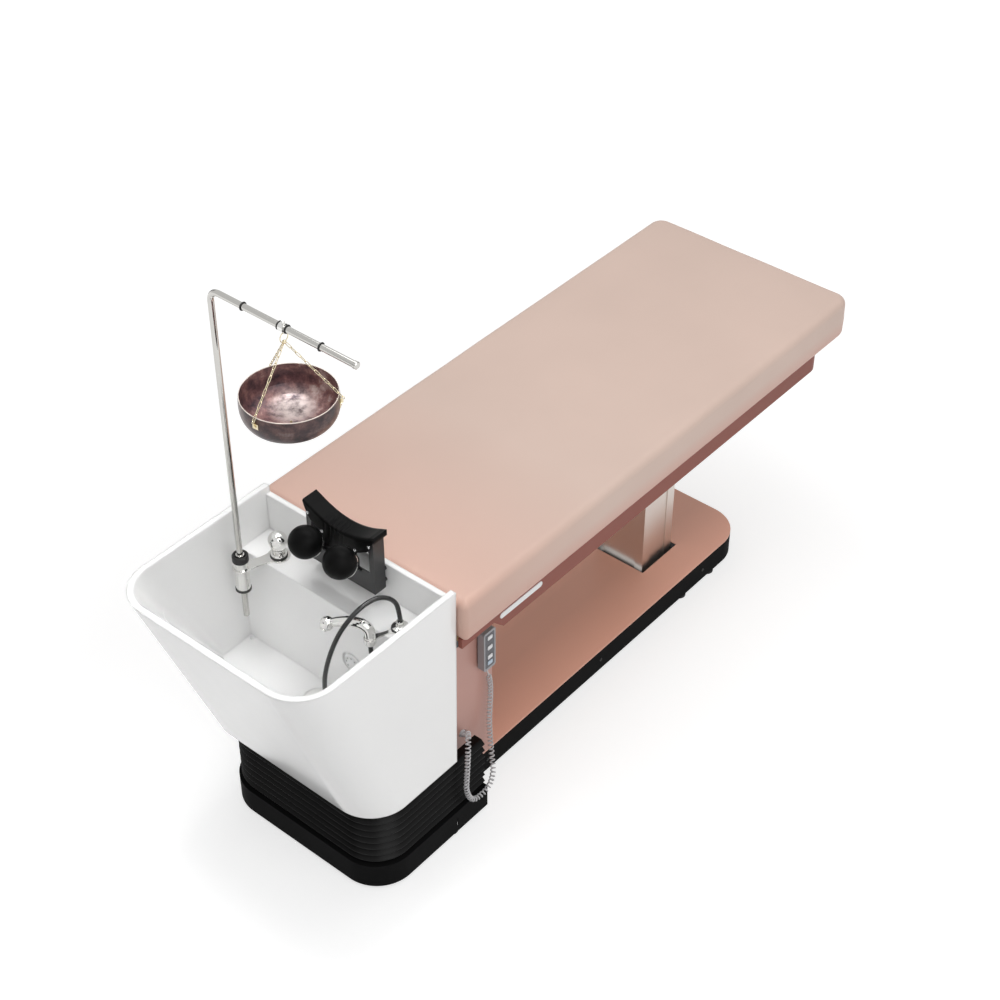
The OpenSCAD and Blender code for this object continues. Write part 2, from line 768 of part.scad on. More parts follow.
module handset_key_1() { handset_key(1); }
module handset_key_2() { handset_key(2); }
module handset_key_3() { handset_key(3); }
module handset_key_4() { handset_key(4); }

module cord_gland() {
    color("#c9cbcd") place() translate([gland_x, -base_half, gland_z]) rotate([90, 0, 0])
        rotate_extrude() polygon([[0, 0], [11, 0], [11, 3], [8, 5], [8, 9], [5.5, 12], [5, 14.6 + cord_d / 2],
            [0, 14.6 + cord_d / 2]]);
}

module curly_cord() {
    route = smooth(cord_route, 2);
    last = len(route) - 1;
    radii = [for (i = [0:last]) i >= 2 * coil_first && i <= 2 * coil_last ? coil_d / 2 : cord_d / 2];
    color("#b4b7ba") place() tube(route, radii, 10);
}

// ---- bellows ----

// Zigzag band of the bellows, with its lower and upper flanges turned inward
module bellows_section() {
    pitch = bellows_height / pleats;
    skin = bellows_skin;
    outer = [for (i = [0:2 * pleats]) [i % 2 == 0 ? -pleat_depth : 0, base_top + pitch * i / 2]];
    inner = [for (p = outer) [p[0] - skin, p[1]]];
    polygon(concat(outer, [for (i = [2 * pleats:-1:0]) inner[i]]));
    for (z = [base_top, bellows_top - skin])
        translate([-pleat_depth - bellows_flange, z]) square([bellows_flange, skin]);
}

module bellows() {
    color("#161617") place() u_sweep(bellows_x0, plinth_x1, bellows_half, bellows_r) bellows_section();
}

module bellows_frame() {
    under = bellows_top - bellows_skin;
    bar = 20;
    edge = pleat_depth + bellows_skin + 3;
    color("#4b4b4d") place() {
        u_sweep(bellows_x0, plinth_x1 - 4, bellows_half, bellows_r)
            translate([-edge - bar, under - 5]) square([bar, 5]);
        for (x = [bellows_x0 + bellows_r, couch_x0 - 40]) {
            translate([x, -bellows_half + edge + 4, under - 5])
                cube([cradle_tube, 2 * (bellows_half - edge - 4), 5]);
            for (s = [-1, 1]) translate([x, s * cradle_y - cradle_tube / 2, under])
                cube([cradle_tube, cradle_tube, basin_bottom - cradle_tube - under]);
        }
    }
}

// ---- couch ----

module bed_frame() {
    x0 = fascia_x0 + 6;
    x1 = fascia_x1 - 60;
    cross_xs = [x0, head_column_x - beam_wide / 2, frame_mid - beam_wide / 2,
        foot_column_x - beam_wide / 2, x1 - beam_wide];
    color("#47484b") place() {
        both_sides() translate([x0, beam_y - beam_wide / 2, beam_z])
            box_tube([x1 - x0, beam_wide, beam], beam_wall, 0);
        for (x = cross_xs) translate([x, -beam_y + beam_wide / 2, beam_z])
            box_tube([beam_wide, 2 * beam_y - beam_wide, beam], beam_wall, 1);
        for (x = column_xs) translate([x - column_long / 2, -column_wide / 2, column_top])
            cube([column_long, column_wide, mount_plate]);
        both_sides() for (x = [couch_x0 + fascia_cut + 50, frame_mid - 12, x1 - 160])
            translate([x, beam_y + beam_wide / 2, beam_z + 6])
                cube([24, fascia_half - fascia_wall - beam_y - beam_wide / 2, 5]);
    }
}

module basin_cradle() {
    arm_z0 = basin_bottom - cradle_tube;
    leg_long = beam_z - basin_bottom;
    color("#47484b") place() {
        both_sides() {
            translate([cradle_x0, cradle_y - cradle_tube / 2, arm_z0])
                box_tube([cradle_leg_x + cradle_tube - cradle_x0, cradle_tube, cradle_tube], cradle_wall, 0);
            translate([cradle_leg_x, cradle_y - cradle_tube / 2, basin_bottom])
                box_tube([cradle_tube, cradle_tube, leg_long], cradle_wall, 2);
        }
        translate([cradle_x0 + 10, -cradle_y + cradle_tube / 2, arm_z0])
            box_tube([cradle_tube, 2 * cradle_y - cradle_tube, cradle_tube], cradle_wall, 1);
        translate([cradle_leg_x, -cradle_y + cradle_tube / 2, 600])
            box_tube([cradle_tube, 2 * cradle_y - cradle_tube, cradle_tube], cradle_wall, 1);
    }
}

module frame_fascia() {
    cut_x = couch_x0 + fascia_cut;
    cut_tall = fascia_height - fascia_lip;
    color("#a9837c") place() difference() {
        translate([0, 0, frame_bottom]) linear_extrude(fascia_height) difference() {
            plan(fascia_x0, fascia_x1, fascia_half, 0, fascia_corner);
            plan(fascia_x0 - 1, fascia_x1 - fascia_wall, fascia_half - fascia_wall, 0,
                fascia_corner - fascia_wall);
        }
        translate([0, fascia_half + 1, frame_bottom]) rotate([90, 0, 0]) linear_extrude(2 * fascia_half + 2)
            polygon([[fascia_x0 - 1, -1], [cut_x + cut_tall + 1, -1], [cut_x, cut_tall],
                [fascia_x0 - 1, cut_tall]]);
    }
}

module cushion_board() {
    gap = 0.5;
    color("#b08a5e") place() translate([0, 0, board_z]) linear_extrude(board_thick)
        plan(fascia_x0 + 1, fascia_x1 - fascia_wall - gap, fascia_half - fascia_wall - gap, 0,
            fascia_corner - fascia_wall);
}

// Side view of the cushion with its two long edges rounded
module soft_edges(long, tall, top_r, low_r) {
    translate([-long / 2, low_r]) square([long, tall - low_r - top_r]);
    translate([top_r - long / 2, tall / 2]) square([long - 2 * top_r, tall / 2]);
    translate([low_r - long / 2, 0]) square([long - 2 * low_r, tall / 2]);
    for (s = [-1, 1]) {
        translate([s * (long / 2 - top_r), tall - top_r]) circle(top_r);
        translate([s * (long / 2 - low_r), low_r]) circle(low_r);
    }
}

module cushion() {
    mid = couch_x0 + cushion_length / 2;
    color("#dcc2b6") place() translate([0, 0, frame_top]) intersection() {
        linear_extrude(cushion_thick) plan(couch_x0, couch_x1, cushion_width / 2, 10, cushion_corner);
        translate([couch_x0 - 5, 0, 0]) rotate([90, 0, 90]) linear_extrude(cushion_length + 10)
            soft_edges(cushion_width, cushion_thick, 22, 12);
        translate([mid, cushion_width, 0]) rotate([90, 0, 0]) linear_extrude(2 * cushion_width)
            soft_edges(cushion_length, cushion_thick, 22, 12);
    }
}

module trim_strip() {
    thick = 2;
    mid_x = couch_x0 + 227.5;
    color("#f4f4f4") place() translate([mid_x, -fascia_half, frame_top - 25.5]) rotate([90, 0, 0])
        linear_extrude(thick) round_rect(strip_length, strip_height, strip_height / 2 - 0.5);
}

// ---- basin ----

module basin() {
    color("#f6f6f4") place() difference() {
        hull() {
            slab_plan(rim_z - slab, 0, basin_length, basin_half, basin_corner);
            slab_plan(basin_bottom, basin_rake, basin_length, basin_half - 8, basin_corner);
        }
        basin_cavity();
        basin_hollow();
        back_step();
        translate([drain_x, 0, bowl_floor_z - basin_floor - 1]) cylinder(d = drain_d, h = basin_floor + 2);
        translate([drain_x, 0, bowl_floor_z - strainer_thick - 1]) cylinder(d = strainer_d + 1, h = 10);
        translate([step_x - 1, overflow_y, overflow_z]) rotate([0, 90, 0]) cylinder(d = overflow_d + 12, h = 5);
        translate([step_x - 1, overflow_y, overflow_z]) rotate([0, 90, 0]) cylinder(d = 24, h = 30);
        for (s = [-1, 1]) translate([fitting_x, s * fitting_y, shelf_z - shelf_thick - 1])
            cylinder(d = tail_d + 0.6, h = shelf_thick + 2);
    }
}

// Room inside the bowl: over the shelf, and down to the floor
module basin_cavity() {
    hull() {
        slab_plan(rim_z, rim_wide, cavity_x1, cavity_half, basin_corner - rim_wide);
        slab_plan(shelf_z, shelf_x0, cavity_x1, cavity_half - 1.4, basin_corner - 2 * rim_wide);
    }
    hull() {
        slab_plan(shelf_z + 1, shelf_x0, step_x, cavity_half - 1.4, basin_corner - 2 * rim_wide);
        slab_plan(bowl_floor_z, bowl_x0, step_x, bowl_half, 20);
    }
}

// Open space under the shelf and the floor, inside the outer walls
module basin_hollow() {
    wall = 12;
    top = rim_z - 40;
    difference() {
        hull() {
            slab_plan(top, (rim_z - top) * slope_out + wall, basin_length - wall, hollow_half, 60);
            slab_plan(basin_bottom - 1, basin_rake + wall, basin_length - wall, hollow_half, 90);
        }
        hull() {
            slab_plan(rim_z + 1, rim_wide - wall, basin_length, basin_half, 60);
            slab_plan(shelf_z - shelf_thick, shelf_x0 - wall, basin_length, basin_half, 60);
        }
        hull() {
            slab_plan(shelf_z + 2, shelf_x0 - wall, step_x + shelf_thick, basin_half, 60);
            slab_plan(bowl_floor_z - basin_floor, bowl_x0 - wall, step_x + shelf_thick, basin_half, 20);
        }
    }
}

// Lowers the back wall between the side rims
module back_step() {
    translate([cavity_x1 - 1, -cavity_half, rim_z - back_drop]) cube([back_wall + 2, 2 * cavity_half, back_drop + 1]);
}

module overflow_cap() {
    color("#fbfbfb") place() {
        translate([step_x + 4, overflow_y, overflow_z]) rotate([0, -90, 0]) difference() {
            union() {
                rotate_extrude() polygon([[0, 0], [overflow_d / 2, 0], [overflow_d / 2, 3],
                    [overflow_d / 2 - 3, 6], [8, 8], [0, 8]]);
                translate([0, 0, -18]) cylinder(d = 23, h = 18.01);
            }
            for (a = [0:45:315]) rotate([0, 0, a]) translate([16, 0, -1]) cylinder(d = 6, h = 12);
            translate([0, 0, -19]) cylinder(d = 18, h = 22);
        }
        translate([step_x - 8, cavity_half - 16, bowl_floor_z]) {
            cylinder(d = 12, h = 5);
            translate([0, 0, 5]) cylinder(d1 = 12, d2 = 6, h = 4);
        }
    }
}

module drain_strainer() {
    color("#a7aaad") place() translate([drain_x, 0, bowl_floor_z - strainer_thick - 1]) difference() {
        union() {
            cylinder(d = strainer_d - 0.6, h = strainer_thick);
            translate([0, 0, -7]) cylinder(d = drain_d - 1, h = 7.01);
            translate([0, 0, strainer_thick - 0.01]) cylinder(d1 = 12, d2 = 8, h = 5);
        }
        translate([0, 0, -8]) cylinder(d = drain_d - 5, h = 8);
        for (ring = [[11, 8], [17.2, 14]], k = [0:ring[1] - 1]) rotate([0, 0, 360 * k / ring[1]])
            translate([ring[0], 0, -1]) cylinder(d = 4.4, h = strainer_thick + 2);
    }
}

module waste_trap() {
    top = bowl_floor_z - basin_floor;
    cup_top = top - 50;
    out_z = top - 94;
    out_x = drain_x + 95;
    r = waste_d / 2;
    color("#e4e4e0") place() {
        translate([drain_x, 0, 0]) difference() {
            union() {
                translate([0, 0, top - 12]) cylinder(d = waste_d + 26, h = 12);
                translate([0, 0, cup_top]) cylinder(d = waste_d, h = top - cup_top);
                translate([0, 0, cup_top - 80]) cylinder(d = waste_d + 24, h = 80);
                translate([0, 0, cup_top - 14]) cylinder(d = waste_d + 30, h = 14);
                translate([0, 0, cup_top - 90]) cylinder(d1 = waste_d, d2 = waste_d + 24, h = 10.01);
            }
            translate([0, 0, cup_top - 70]) cylinder(d = waste_d + 18, h = 60);
            translate([0, 0, cup_top - 30]) cylinder(d = waste_d - 6, h = top);
        }
        difference() {
            union() {
                translate([drain_x + r + 10, 0, out_z]) rotate([0, 90, 0])
                    cylinder(r = r, h = out_x - drain_x - r - 10 - r);
                translate([out_x - r, 0, out_z - r]) rotate([90, 0, 0]) rotate_extrude(angle = 90)
                    translate([r, 0]) circle(r - 0.01);
            }
            translate([drain_x, 0, out_z]) rotate([0, 90, 0]) cylinder(r = r - 3, h = out_x - drain_x - 2 * r);
        }
        translate([out_x, 0, basin_bottom + 8]) cylinder(r = r, h = out_z - r - basin_bottom - 8);
    }
}

// ---- neck rest ----

// Height of the pad's upper edge at a distance from the middle plane
function pad_upper(y) = pad_end_z - pad_dip * (1 - pow(y / pad_half, 2));

// Lower edge of the pad's apron on one side, above the stand's lower edge
apron_edge = [[110, 160], [101, 141], [93, 129.5], [53, 106], [48, 101.5], [60, 89], [62, 82], [57, 75]];

module stand_outline() {
    steps = 24;
    rise = [for (i = [0:steps]) let (y = stand_half * (1 - 2 * i / steps))
        [y, min(stand_top, pad_upper(y) - pad_thick - 0.5)]];
    polygon(concat([[-stand_half, stand_z], [stand_half, stand_z]], rise));
}

module neck_stand() {
    lip = 14;
    side_top = min(stand_top, pad_upper(stand_half - stand_sheet) - pad_thick - 0.5);
    lip_top = min(stand_top, pad_upper(stand_half - lip) - pad_thick - 0.5);
    reach = (stand_x0 + stand_sheet / 2 - ball_x) / sin(ball_tilt);
    color("#2d2e30") place() {
        difference() {
            translate([stand_x0, 0, 0]) rotate([90, 0, 90]) linear_extrude(stand_sheet) stand_outline();
            both_sides() translate([stand_x0 - 1, 0, stand_z]) rotate([90, 0, 90])
                linear_extrude(4 * stand_sheet) polygon(window);
            both_sides() for (p = neck_screw_spots) translate([stand_x0 - 1, p[0], stand_z + p[1]])
                rotate([0, 90, 0]) cylinder(d = 4, h = 4 * stand_sheet);
        }
        both_sides() {
            translate([stand_x0, stand_half - stand_sheet, stand_z])
                cube([stand_deep, stand_sheet, side_top - stand_z]);
            translate([stand_x1 - stand_sheet, stand_half - lip, stand_z])
                cube([stand_sheet, lip, lip_top - stand_z]);
            for (z = [20, 56]) translate([stand_x1 - 0.01, stand_half - lip / 2, stand_z + z])
                rotate([0, 90, 0]) cylinder(d = 12, h = stand_gap + 0.01);
            translate([ball_x, ball_y, ball_z]) rotate([0, ball_tilt, 0]) {
                translate([-1.25, -12, ball_cut + 3]) cube([2.5, 24, reach - ball_cut - 3]);
                translate([0, 0, ball_cut + 3]) cylinder(d = 22, h = 3);
                translate([0, 0, 4]) cylinder(d = ball_pin, h = ball_cut);
            }
        }
    }
}

module neck_screws() {
    color("#c8cacc") place() both_sides() for (p = neck_screw_spots)
        translate([pad_front, p[0], stand_z + p[1]]) rotate([0, -90, 0]) {
            rotate_extrude() polygon([[0, 0], [4.5, 0], [4.2, 1.4], [2.8, 2.4], [0, 2.8]]);
            translate([0, 0, -pad_skin - 2 * stand_sheet])
                cylinder(d = 4, h = pad_skin + 2 * stand_sheet + 0.01);
        }
}

module neck_pad() {
    steps = 28;
    last = len(apron_edge) - 1;
    ys = [for (i = [0:steps]) pad_half * (1 - 2 * i / steps)];
    top = [for (y = ys) [y, pad_upper(y)]];
    near_edge = [for (p = apron_edge) [-p[0], stand_z + p[1]]];
    far_edge = [for (i = [last:-1:0]) [apron_edge[i][0], stand_z + apron_edge[i][1]]];
    ends = pad_upper(pad_half) - pad_thick;
    color("#232325") place() difference() {
        union() {
            translate([pad_front, 0, 0]) rotate([90, 0, 90]) linear_extrude(pad_skin)
                polygon(concat(top, [[-pad_half, ends]], near_edge, far_edge, [[pad_half, ends]]));
            translate([pad_front, 0, 0]) rotate([90, 0, 90]) linear_extrude(stand_x1 + stand_gap - pad_front)
                polygon(concat(top, [for (i = [steps:-1:0]) [ys[i], pad_upper(ys[i]) - pad_thick]]));
        }
        both_sides() for (p = neck_screw_spots) translate([pad_front - 1, p[0], stand_z + p[1]])
            rotate([0, 90, 0]) cylinder(d = 4.2, h = pad_skin + 2);
    }
}

module massage_ball(side) {
    color("#1c1c1d") place() translate([ball_x, side * ball_y, ball_z]) rotate([0, ball_tilt, 0])
        difference() {
            sphere(d = ball_d, $fn = 96);
            translate([-ball_d, -ball_d, ball_cut]) cube(2 * ball_d);
            translate([0, 0, 3]) cylinder(d = ball_pin + 2 * run_fit, h = ball_d);
        }
}

module ball_far() { massage_ball(1); }
module ball_near() { massage_ball(-1); }

module ball_rings() {
    rim = sqrt(pow(ball_d / 2, 2) - pow(ball_cut, 2));
    color("#e2e4e6") place() both_sides() translate([ball_x, ball_y, ball_z]) rotate([0, ball_tilt, 0])
        translate([0, 0, ball_cut + 0.3]) difference() {
            cylinder(r = rim + 1.6, h = 2.7);
            translate([0, 0, -1]) cylinder(d = ball_pin + 0.6, h = 5);
        }
}

// ---- water fittings ----

module tail_pipe() {
    under = shelf_z - shelf_thick;
    translate([0, 0, under - tail_long]) cylinder(d = tail_d, h = tail_long + shelf_thick + 1);
    translate([0, 0, under - 10]) cylinder(d = tail_d + 18, h = 10, $fn = 6);
}

module valve_body() {
    color("#e3e5e7") place() translate([fitting_x, fitting_y, 0]) {
        tail_pipe();
        translate([0, 0, shelf_z]) cylinder(d = neck_d, h = flange_z - shelf_z);
        translate([0, 0, flange_z]) rotate_extrude() polygon([[0, 0], [fitting_flange_d / 2, 0],
            [fitting_flange_d / 2, 3], [fitting_flange_d / 2 - 4, flange_thick], [0, flange_thick]]);
        translate([0, 0, flange_z]) cylinder(d = neck_d, h = knob_z - flange_z - 0.3);
        translate([0, 0, knob_z - 2]) cylinder(d = spindle_d, h = 26);
    }
}

module valve_knob() {
    r = knob_d / 2;
    tall = 56;
    color("#eceef0") place() translate([fitting_x, fitting_y, knob_z]) difference() {
        rotate_extrude() polygon(concat([[0, 0], [r * 0.68, 0], [r * 0.72, 6], [r * 0.86, 14]],
            [for (a = [-20:10:90]) [r * cos(a), tall - r + r * sin(a)]]));
        translate([0, 0, -1]) cylinder(d = spindle_d + 2 * run_fit, h = 27);
        for (a = [0:60:300]) rotate([0, 0, a]) translate([r + 1.2, 0, 24]) cylinder(d = 5, h = 20);
    }
}

module hose_union() {
    color("#e3e5e7") place() translate([fitting_x, -fitting_y, 0]) {
        tail_pipe();
        translate([0, 0, shelf_z]) cylinder(d = neck_d, h = flange_z - shelf_z);
        translate([0, 0, flange_z]) rotate_extrude() polygon([[0, 0], [fitting_flange_d / 2, 0],
            [fitting_flange_d / 2, 3], [11, flange_thick], [9, 9], [9, 20], [7.5, 20], [7.5, 12], [0, 12]]);
    }
}

module fitting_seals() {
    color("#151515") place() both_sides() translate([fitting_x, fitting_y, bracket_top]) difference() {
        cylinder(d = fitting_flange_d + 3, h = seal_thick);
        translate([0, 0, -1]) cylinder(d = neck_d + 0.1, h = seal_thick + 2);
    }
}

// Flat bar from a fitting to a ring, necked between its two round ends
module bracket_bar(from, to, wide, from_r, to_r) {
    reach = norm(to - from);
    turn = atan2(to[1] - from[1], to[0] - from[0]);
    translate(from) circle(from_r);
    translate(to) circle(to_r);
    translate(from) rotate(turn) difference() {
        translate([0, -wide / 2]) square([reach, wide]);
        for (s = [-1, 1]) translate([reach * 0.52, s * (wide / 2 + reach * 0.9)]) circle(reach * 0.95);
    }
}

module pole_bracket() {
    color("#dfe1e3") place() translate([0, 0, bracket_z]) linear_extrude(bracket_thick) difference() {
        bracket_bar([fitting_x, fitting_y], [pole_x, pole_y], 38, 29, sleeve_d / 2 + 4);
        translate([fitting_x, fitting_y]) circle(d = neck_d + 0.1);
        translate([pole_x, pole_y]) circle(d = sleeve_d + 0.1);
    }
}

module shower_holder() {
    ring_low = 12;
    bore = ferrule_d / 2 + holder_fit;
    color("#e3e5e7") place() difference() {
        union() {
            translate([0, 0, bracket_z]) linear_extrude(bracket_thick)
                bracket_bar([fitting_x, -fitting_y], [holder_x, holder_y], 18, 23, bore + 3.5);
            translate([holder_x, holder_y, bracket_top - ring_low]) cylinder(r = bore + 3.5, h = ring_low);
        }
        translate([fitting_x, -fitting_y, bracket_z - 1]) cylinder(d = neck_d + 0.1, h = 10);
        translate([holder_x, holder_y, bracket_z - 20]) cylinder(r = bore, h = 40);
    }
}

module hand_shower() {
    body = smooth(handle_route, 3);
    count = len(handle_radii) - 1;
    radii = [for (i = [0:len(body) - 1]) let (k = min(floor(i / 3), count - 1), u = i / 3 - k)
        handle_radii[k] * (1 - u) + handle_radii[k + 1] * u];
    color("#d5d7d9") place() {
        tube(body, radii, 20);
        translate(head_spot) sphere(r = head_r, $fn = 64);
        translate([holder_x, holder_y, bracket_z - 16]) cylinder(d = ferrule_d, h = 24);
        translate([holder_x, holder_y, bracket_top]) cylinder(d = ferrule_d + 4, h = 5);
        translate(head_spot) rotate([0, -125, 0]) cylinder(d = 17, h = head_r + 2);
    }
}

module shower_hose() {
    route = smooth(hose_route, 2);
    color("#19191a") place() tube(route, [for (p = route) hose_d / 2], 10);
}

// ---- pole, arm and hanging bowl ----

module pole_sleeve() {
    color("#e3e5e7") place() translate([pole_x, pole_y, sleeve_z]) difference() {
        cylinder(d = sleeve_d, h = sleeve_height);
        translate([0, 0, -1]) cylinder(d = sleeve_bore, h = sleeve_height + 2);
        translate([-1.2, -sleeve_d, 10]) cube([2.4, sleeve_d, 26]);
    }
}

module sleeve_rings() {
    color("#161616") place() translate([pole_x, pole_y, 0]) {
        translate([0, 0, sleeve_top]) difference() {
            rotate_extrude() polygon([[15.5, 0], [sleeve_d / 2 + 1.5, 0], [sleeve_d / 2 + 2, 2],
                [sleeve_d / 2 + 2, 17], [sleeve_d / 2, 20], [15.5, 20]]);
        }
        translate([0, 0, sleeve_z - 6]) difference() {
            cylinder(d = sleeve_d + 3, h = 6);
            translate([0, 0, -1]) cylinder(d = pole_d + 1.2, h = 8);
        }
    }
}

module pole_nut() {
    color("#cfd1d3") place() translate([pole_x, pole_y, 0]) difference() {
        union() {
            translate([0, 0, sleeve_z + 0.2]) cylinder(d = sleeve_bore - 2 * run_fit, h = sleeve_height - 1);
            translate([0, 0, sleeve_top - 1]) rotate_extrude()
                polygon([[0, 0], [14, 0], [14, 10], [11, 22], [0, 22]]);
        }
        translate([0, 0, sleeve_z - 1]) cylinder(d = pole_d + 2 * run_fit, h = sleeve_height + 60);
    }
}

module pole_run(r) {
    translate([pole_x, pole_y, pole_foot]) cylinder(r = r, h = arm_z - bend_r - pole_foot);
    translate([pole_x, pole_y - bend_r, arm_z - bend_r]) rotate([90, 0, 90])
        rotate_extrude(angle = 90) translate([bend_r, 0]) circle(r);
    translate([pole_x, pole_y - bend_r, arm_z]) rotate([90, 0, 0]) cylinder(r = r, h = arm_reach - bend_r);
}

module pole() {
    color("#dadcde") place() difference() {
        pole_run(pole_d / 2);
        pole_run(pole_d / 2 - pole_wall);
    }
}

module arm_cap() {
    inner = pole_d - 2 * pole_wall;
    color("#8d8f92") place() {
        translate([pole_x, pole_y - arm_reach, arm_z]) rotate([90, 0, 0]) {
            rotate_extrude() polygon([[0, 0], [pole_d / 2 + 1, 0], [pole_d / 2 + 1, 8], [pole_d / 2 - 1, 10], [0, 10]]);
            translate([0, 0, -12]) cylinder(d = inner, h = 12);
        }
        translate([pole_x, pole_y, pole_foot - 3]) cylinder(d = pole_d, h = 3);
        translate([pole_x, pole_y, pole_foot - 1]) cylinder(d = inner, h = 12);
    }
}

module arm_o_rings() {
    color("#141414") place() for (y = o_ring_ys) translate([pole_x, y, arm_z]) rotate([90, 0, 0])
        rotate_extrude() difference() {
            translate([pole_d / 2 + o_ring_wire / 2 - 0.2, 0]) circle(d = o_ring_wire, $fn = 24);
            translate([0, -5]) square([pole_d / 2, 10]);
        }
}

module hanger_clip() {
    r = pole_d / 2 + clip_wall;
    color("#d8dadb") place() translate([pole_x, hanger_y, arm_z]) difference() {
        union() {
            rotate([90, 0, 0]) cylinder(r = r, h = clip_wide, center = true);
            translate([0, 0, r + 2.4]) sphere(r = 4.6, $fn = 32);
            translate([-1.5, -4, -r - 6.5]) cube([3, 8, 8]);
        }
        rotate([90, 0, 0]) cylinder(r = pole_d / 2 + run_fit, h = clip_wide + 2, center = true);
        translate([0, 0, ring_pivot_z - arm_z]) rotate([0, 90, 0])
            cylinder(d = ring_wire + 0.6, h = 10, center = true, $fn = 24);
    }
}

module hanger_ring() {
    color("#d9c68c") place() translate([pole_x, hanger_y, ring_pivot_z - ring_r]) rotate([90, 0, 0])
        rotate_extrude() translate([ring_r, 0]) circle(d = ring_wire, $fn = 24);
}

// One long link along X, centred
module chain_link(long) {
    half = (link_wide - link_wire) / 2;
    straight = round((long - link_wide) * 10) / 10;
    for (turn = [0, 180]) rotate([0, 0, turn]) {
        translate([straight / 2, 0, 0]) rotate([0, 0, -90]) rotate_extrude(angle = 180, $fn = 32)
            translate([half, 0]) circle(d = link_wire, $fn = 16);
        translate([-straight / 2, half, 0]) rotate([0, 90, 0])
            cylinder(d = link_wire, h = straight, $fn = 16);
    }
}

module chains() {
    drop = chain_top_z - chain_end_z;
    run = chain_end_r - chain_top_r;
    pitch = norm([run, drop]) / chain_links;
    color("#c9b26a") place() translate([pole_x, hanger_y, 0]) {
        difference() {
            translate([0, 0, ring_foot_z]) sphere(r = bead_r, $fn = 32);
            translate([0, 0, ring_pivot_z - ring_r]) rotate([90, 0, 0]) rotate_extrude()
                translate([ring_r, 0]) circle(d = ring_wire + 0.4, $fn = 24);
        }
        for (a = lug_angles) rotate([0, 0, a]) translate([chain_top_r, 0, chain_top_z])
            rotate([0, atan2(drop, run), 0]) for (i = [0:chain_links - 1])
                translate([pitch * (i + 0.5), 0, 0]) rotate([90 * (i + 1), 0, 0])
                    chain_link(pitch + 2 * link_wire + 0.3);
    }
}

function bowl_curve(u) =
    let (a = [bowl_base_r, 0], b = [bowl_d * 0.44, 0], c = [bowl_d / 2 + bowl_belly, bowl_height * 0.34],
         d = [bowl_d / 2 - 0.6, bowl_height])
    pow(1 - u, 3) * a + 3 * u * pow(1 - u, 2) * b + 3 * u * u * (1 - u) * c + pow(u, 3) * d;

module bowl() {
    steps = 18;
    outer = [for (i = [0:steps]) bowl_curve(i / steps)];
    inner = [for (i = [steps:-1:0]) let (p = bowl_curve(i / steps))
        [p[0] - bowl_wall, i == steps ? bowl_height : max(p[1] + bowl_wall * (1 - i / steps), bowl_wall)]];
    color("#6d4b46") place() translate([pole_x, hanger_y, bowl_z]) difference() {
        rotate_extrude($fn = 128) polygon(concat([[0, 0]], outer, inner, [[0, bowl_wall]]));
        translate([0, 0, -1]) cylinder(d = 6, h = 10);
    }
}

module bowl_brassware() {
    wall_r = bowl_curve(0.86)[0];
    plate_z = bowl_curve(0.86)[1];
    color("#b9975a") place() translate([pole_x, hanger_y, bowl_z]) {
        for (a = lug_angles) rotate([0, 0, a]) {
            translate([wall_r + 0.05, -lug_wide / 2, plate_z - lug_tall / 2]) cube([lug_thick, lug_wide, lug_tall]);
            translate([wall_r + lug_thick, 0, plate_z]) rotate([0, 90, 0]) cylinder(d = 6, h = 2.4, $fn = 6);
            translate([lug_eye_r, 0, bowl_height - 1 - eye_r - link_wire])
                rotate([90, 0, 0]) rotate_extrude() translate([eye_r, 0]) circle(d = eye_wire, $fn = 16);
            translate([wall_r + 0.3, -1.2, plate_z + 4]) cube([lug_eye_r - wall_r, 2.4, 9]);
        }
        translate([0, 0, -9]) difference() {
            union() {
                cylinder(d1 = 7, d2 = 10, h = 5);
                translate([0, 0, 5]) cylinder(d = 16, h = 4);
                translate([0, 0, 5]) cylinder(d = 5.9, h = 8);
            }
            translate([0, 0, -1]) cylinder(d = 3, h = 16);
        }
    }
}

base_chassis();
base_skirt();
base_cover();
head_plinth();
levelling_feet();
base_screws();
column_outer_stages();
column_glides();
lift_actuators();
control_box();
mains_inlet();
pedestal_cover();
handset_hook();
cord_gland();
curly_cord();
bellows();
handset_shell();
handset_face();
handset_key_1();
handset_key_2();
handset_key_3();
handset_key_4();
column_inner_stages();
actuator_rods();
bed_frame();
basin_cradle();
bellows_frame();
frame_fascia();
cushion_board();
cushion();
trim_strip();
basin();
overflow_cap();
drain_strainer();
waste_trap();
neck_stand();
neck_screws();
neck_pad();
ball_far();
ball_near();
ball_rings();
valve_body();
valve_knob();
hose_union();
fitting_seals();
pole_bracket();
pole_sleeve();
sleeve_rings();
pole_nut();
pole();
arm_cap();
arm_o_rings();
hanger_clip();
hanger_ring();
chains();
bowl();
bowl_brassware();
shower_holder();
hand_shower();
shower_hose();
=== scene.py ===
import json
import math

import bmesh
import bpy
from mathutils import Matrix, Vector, noise


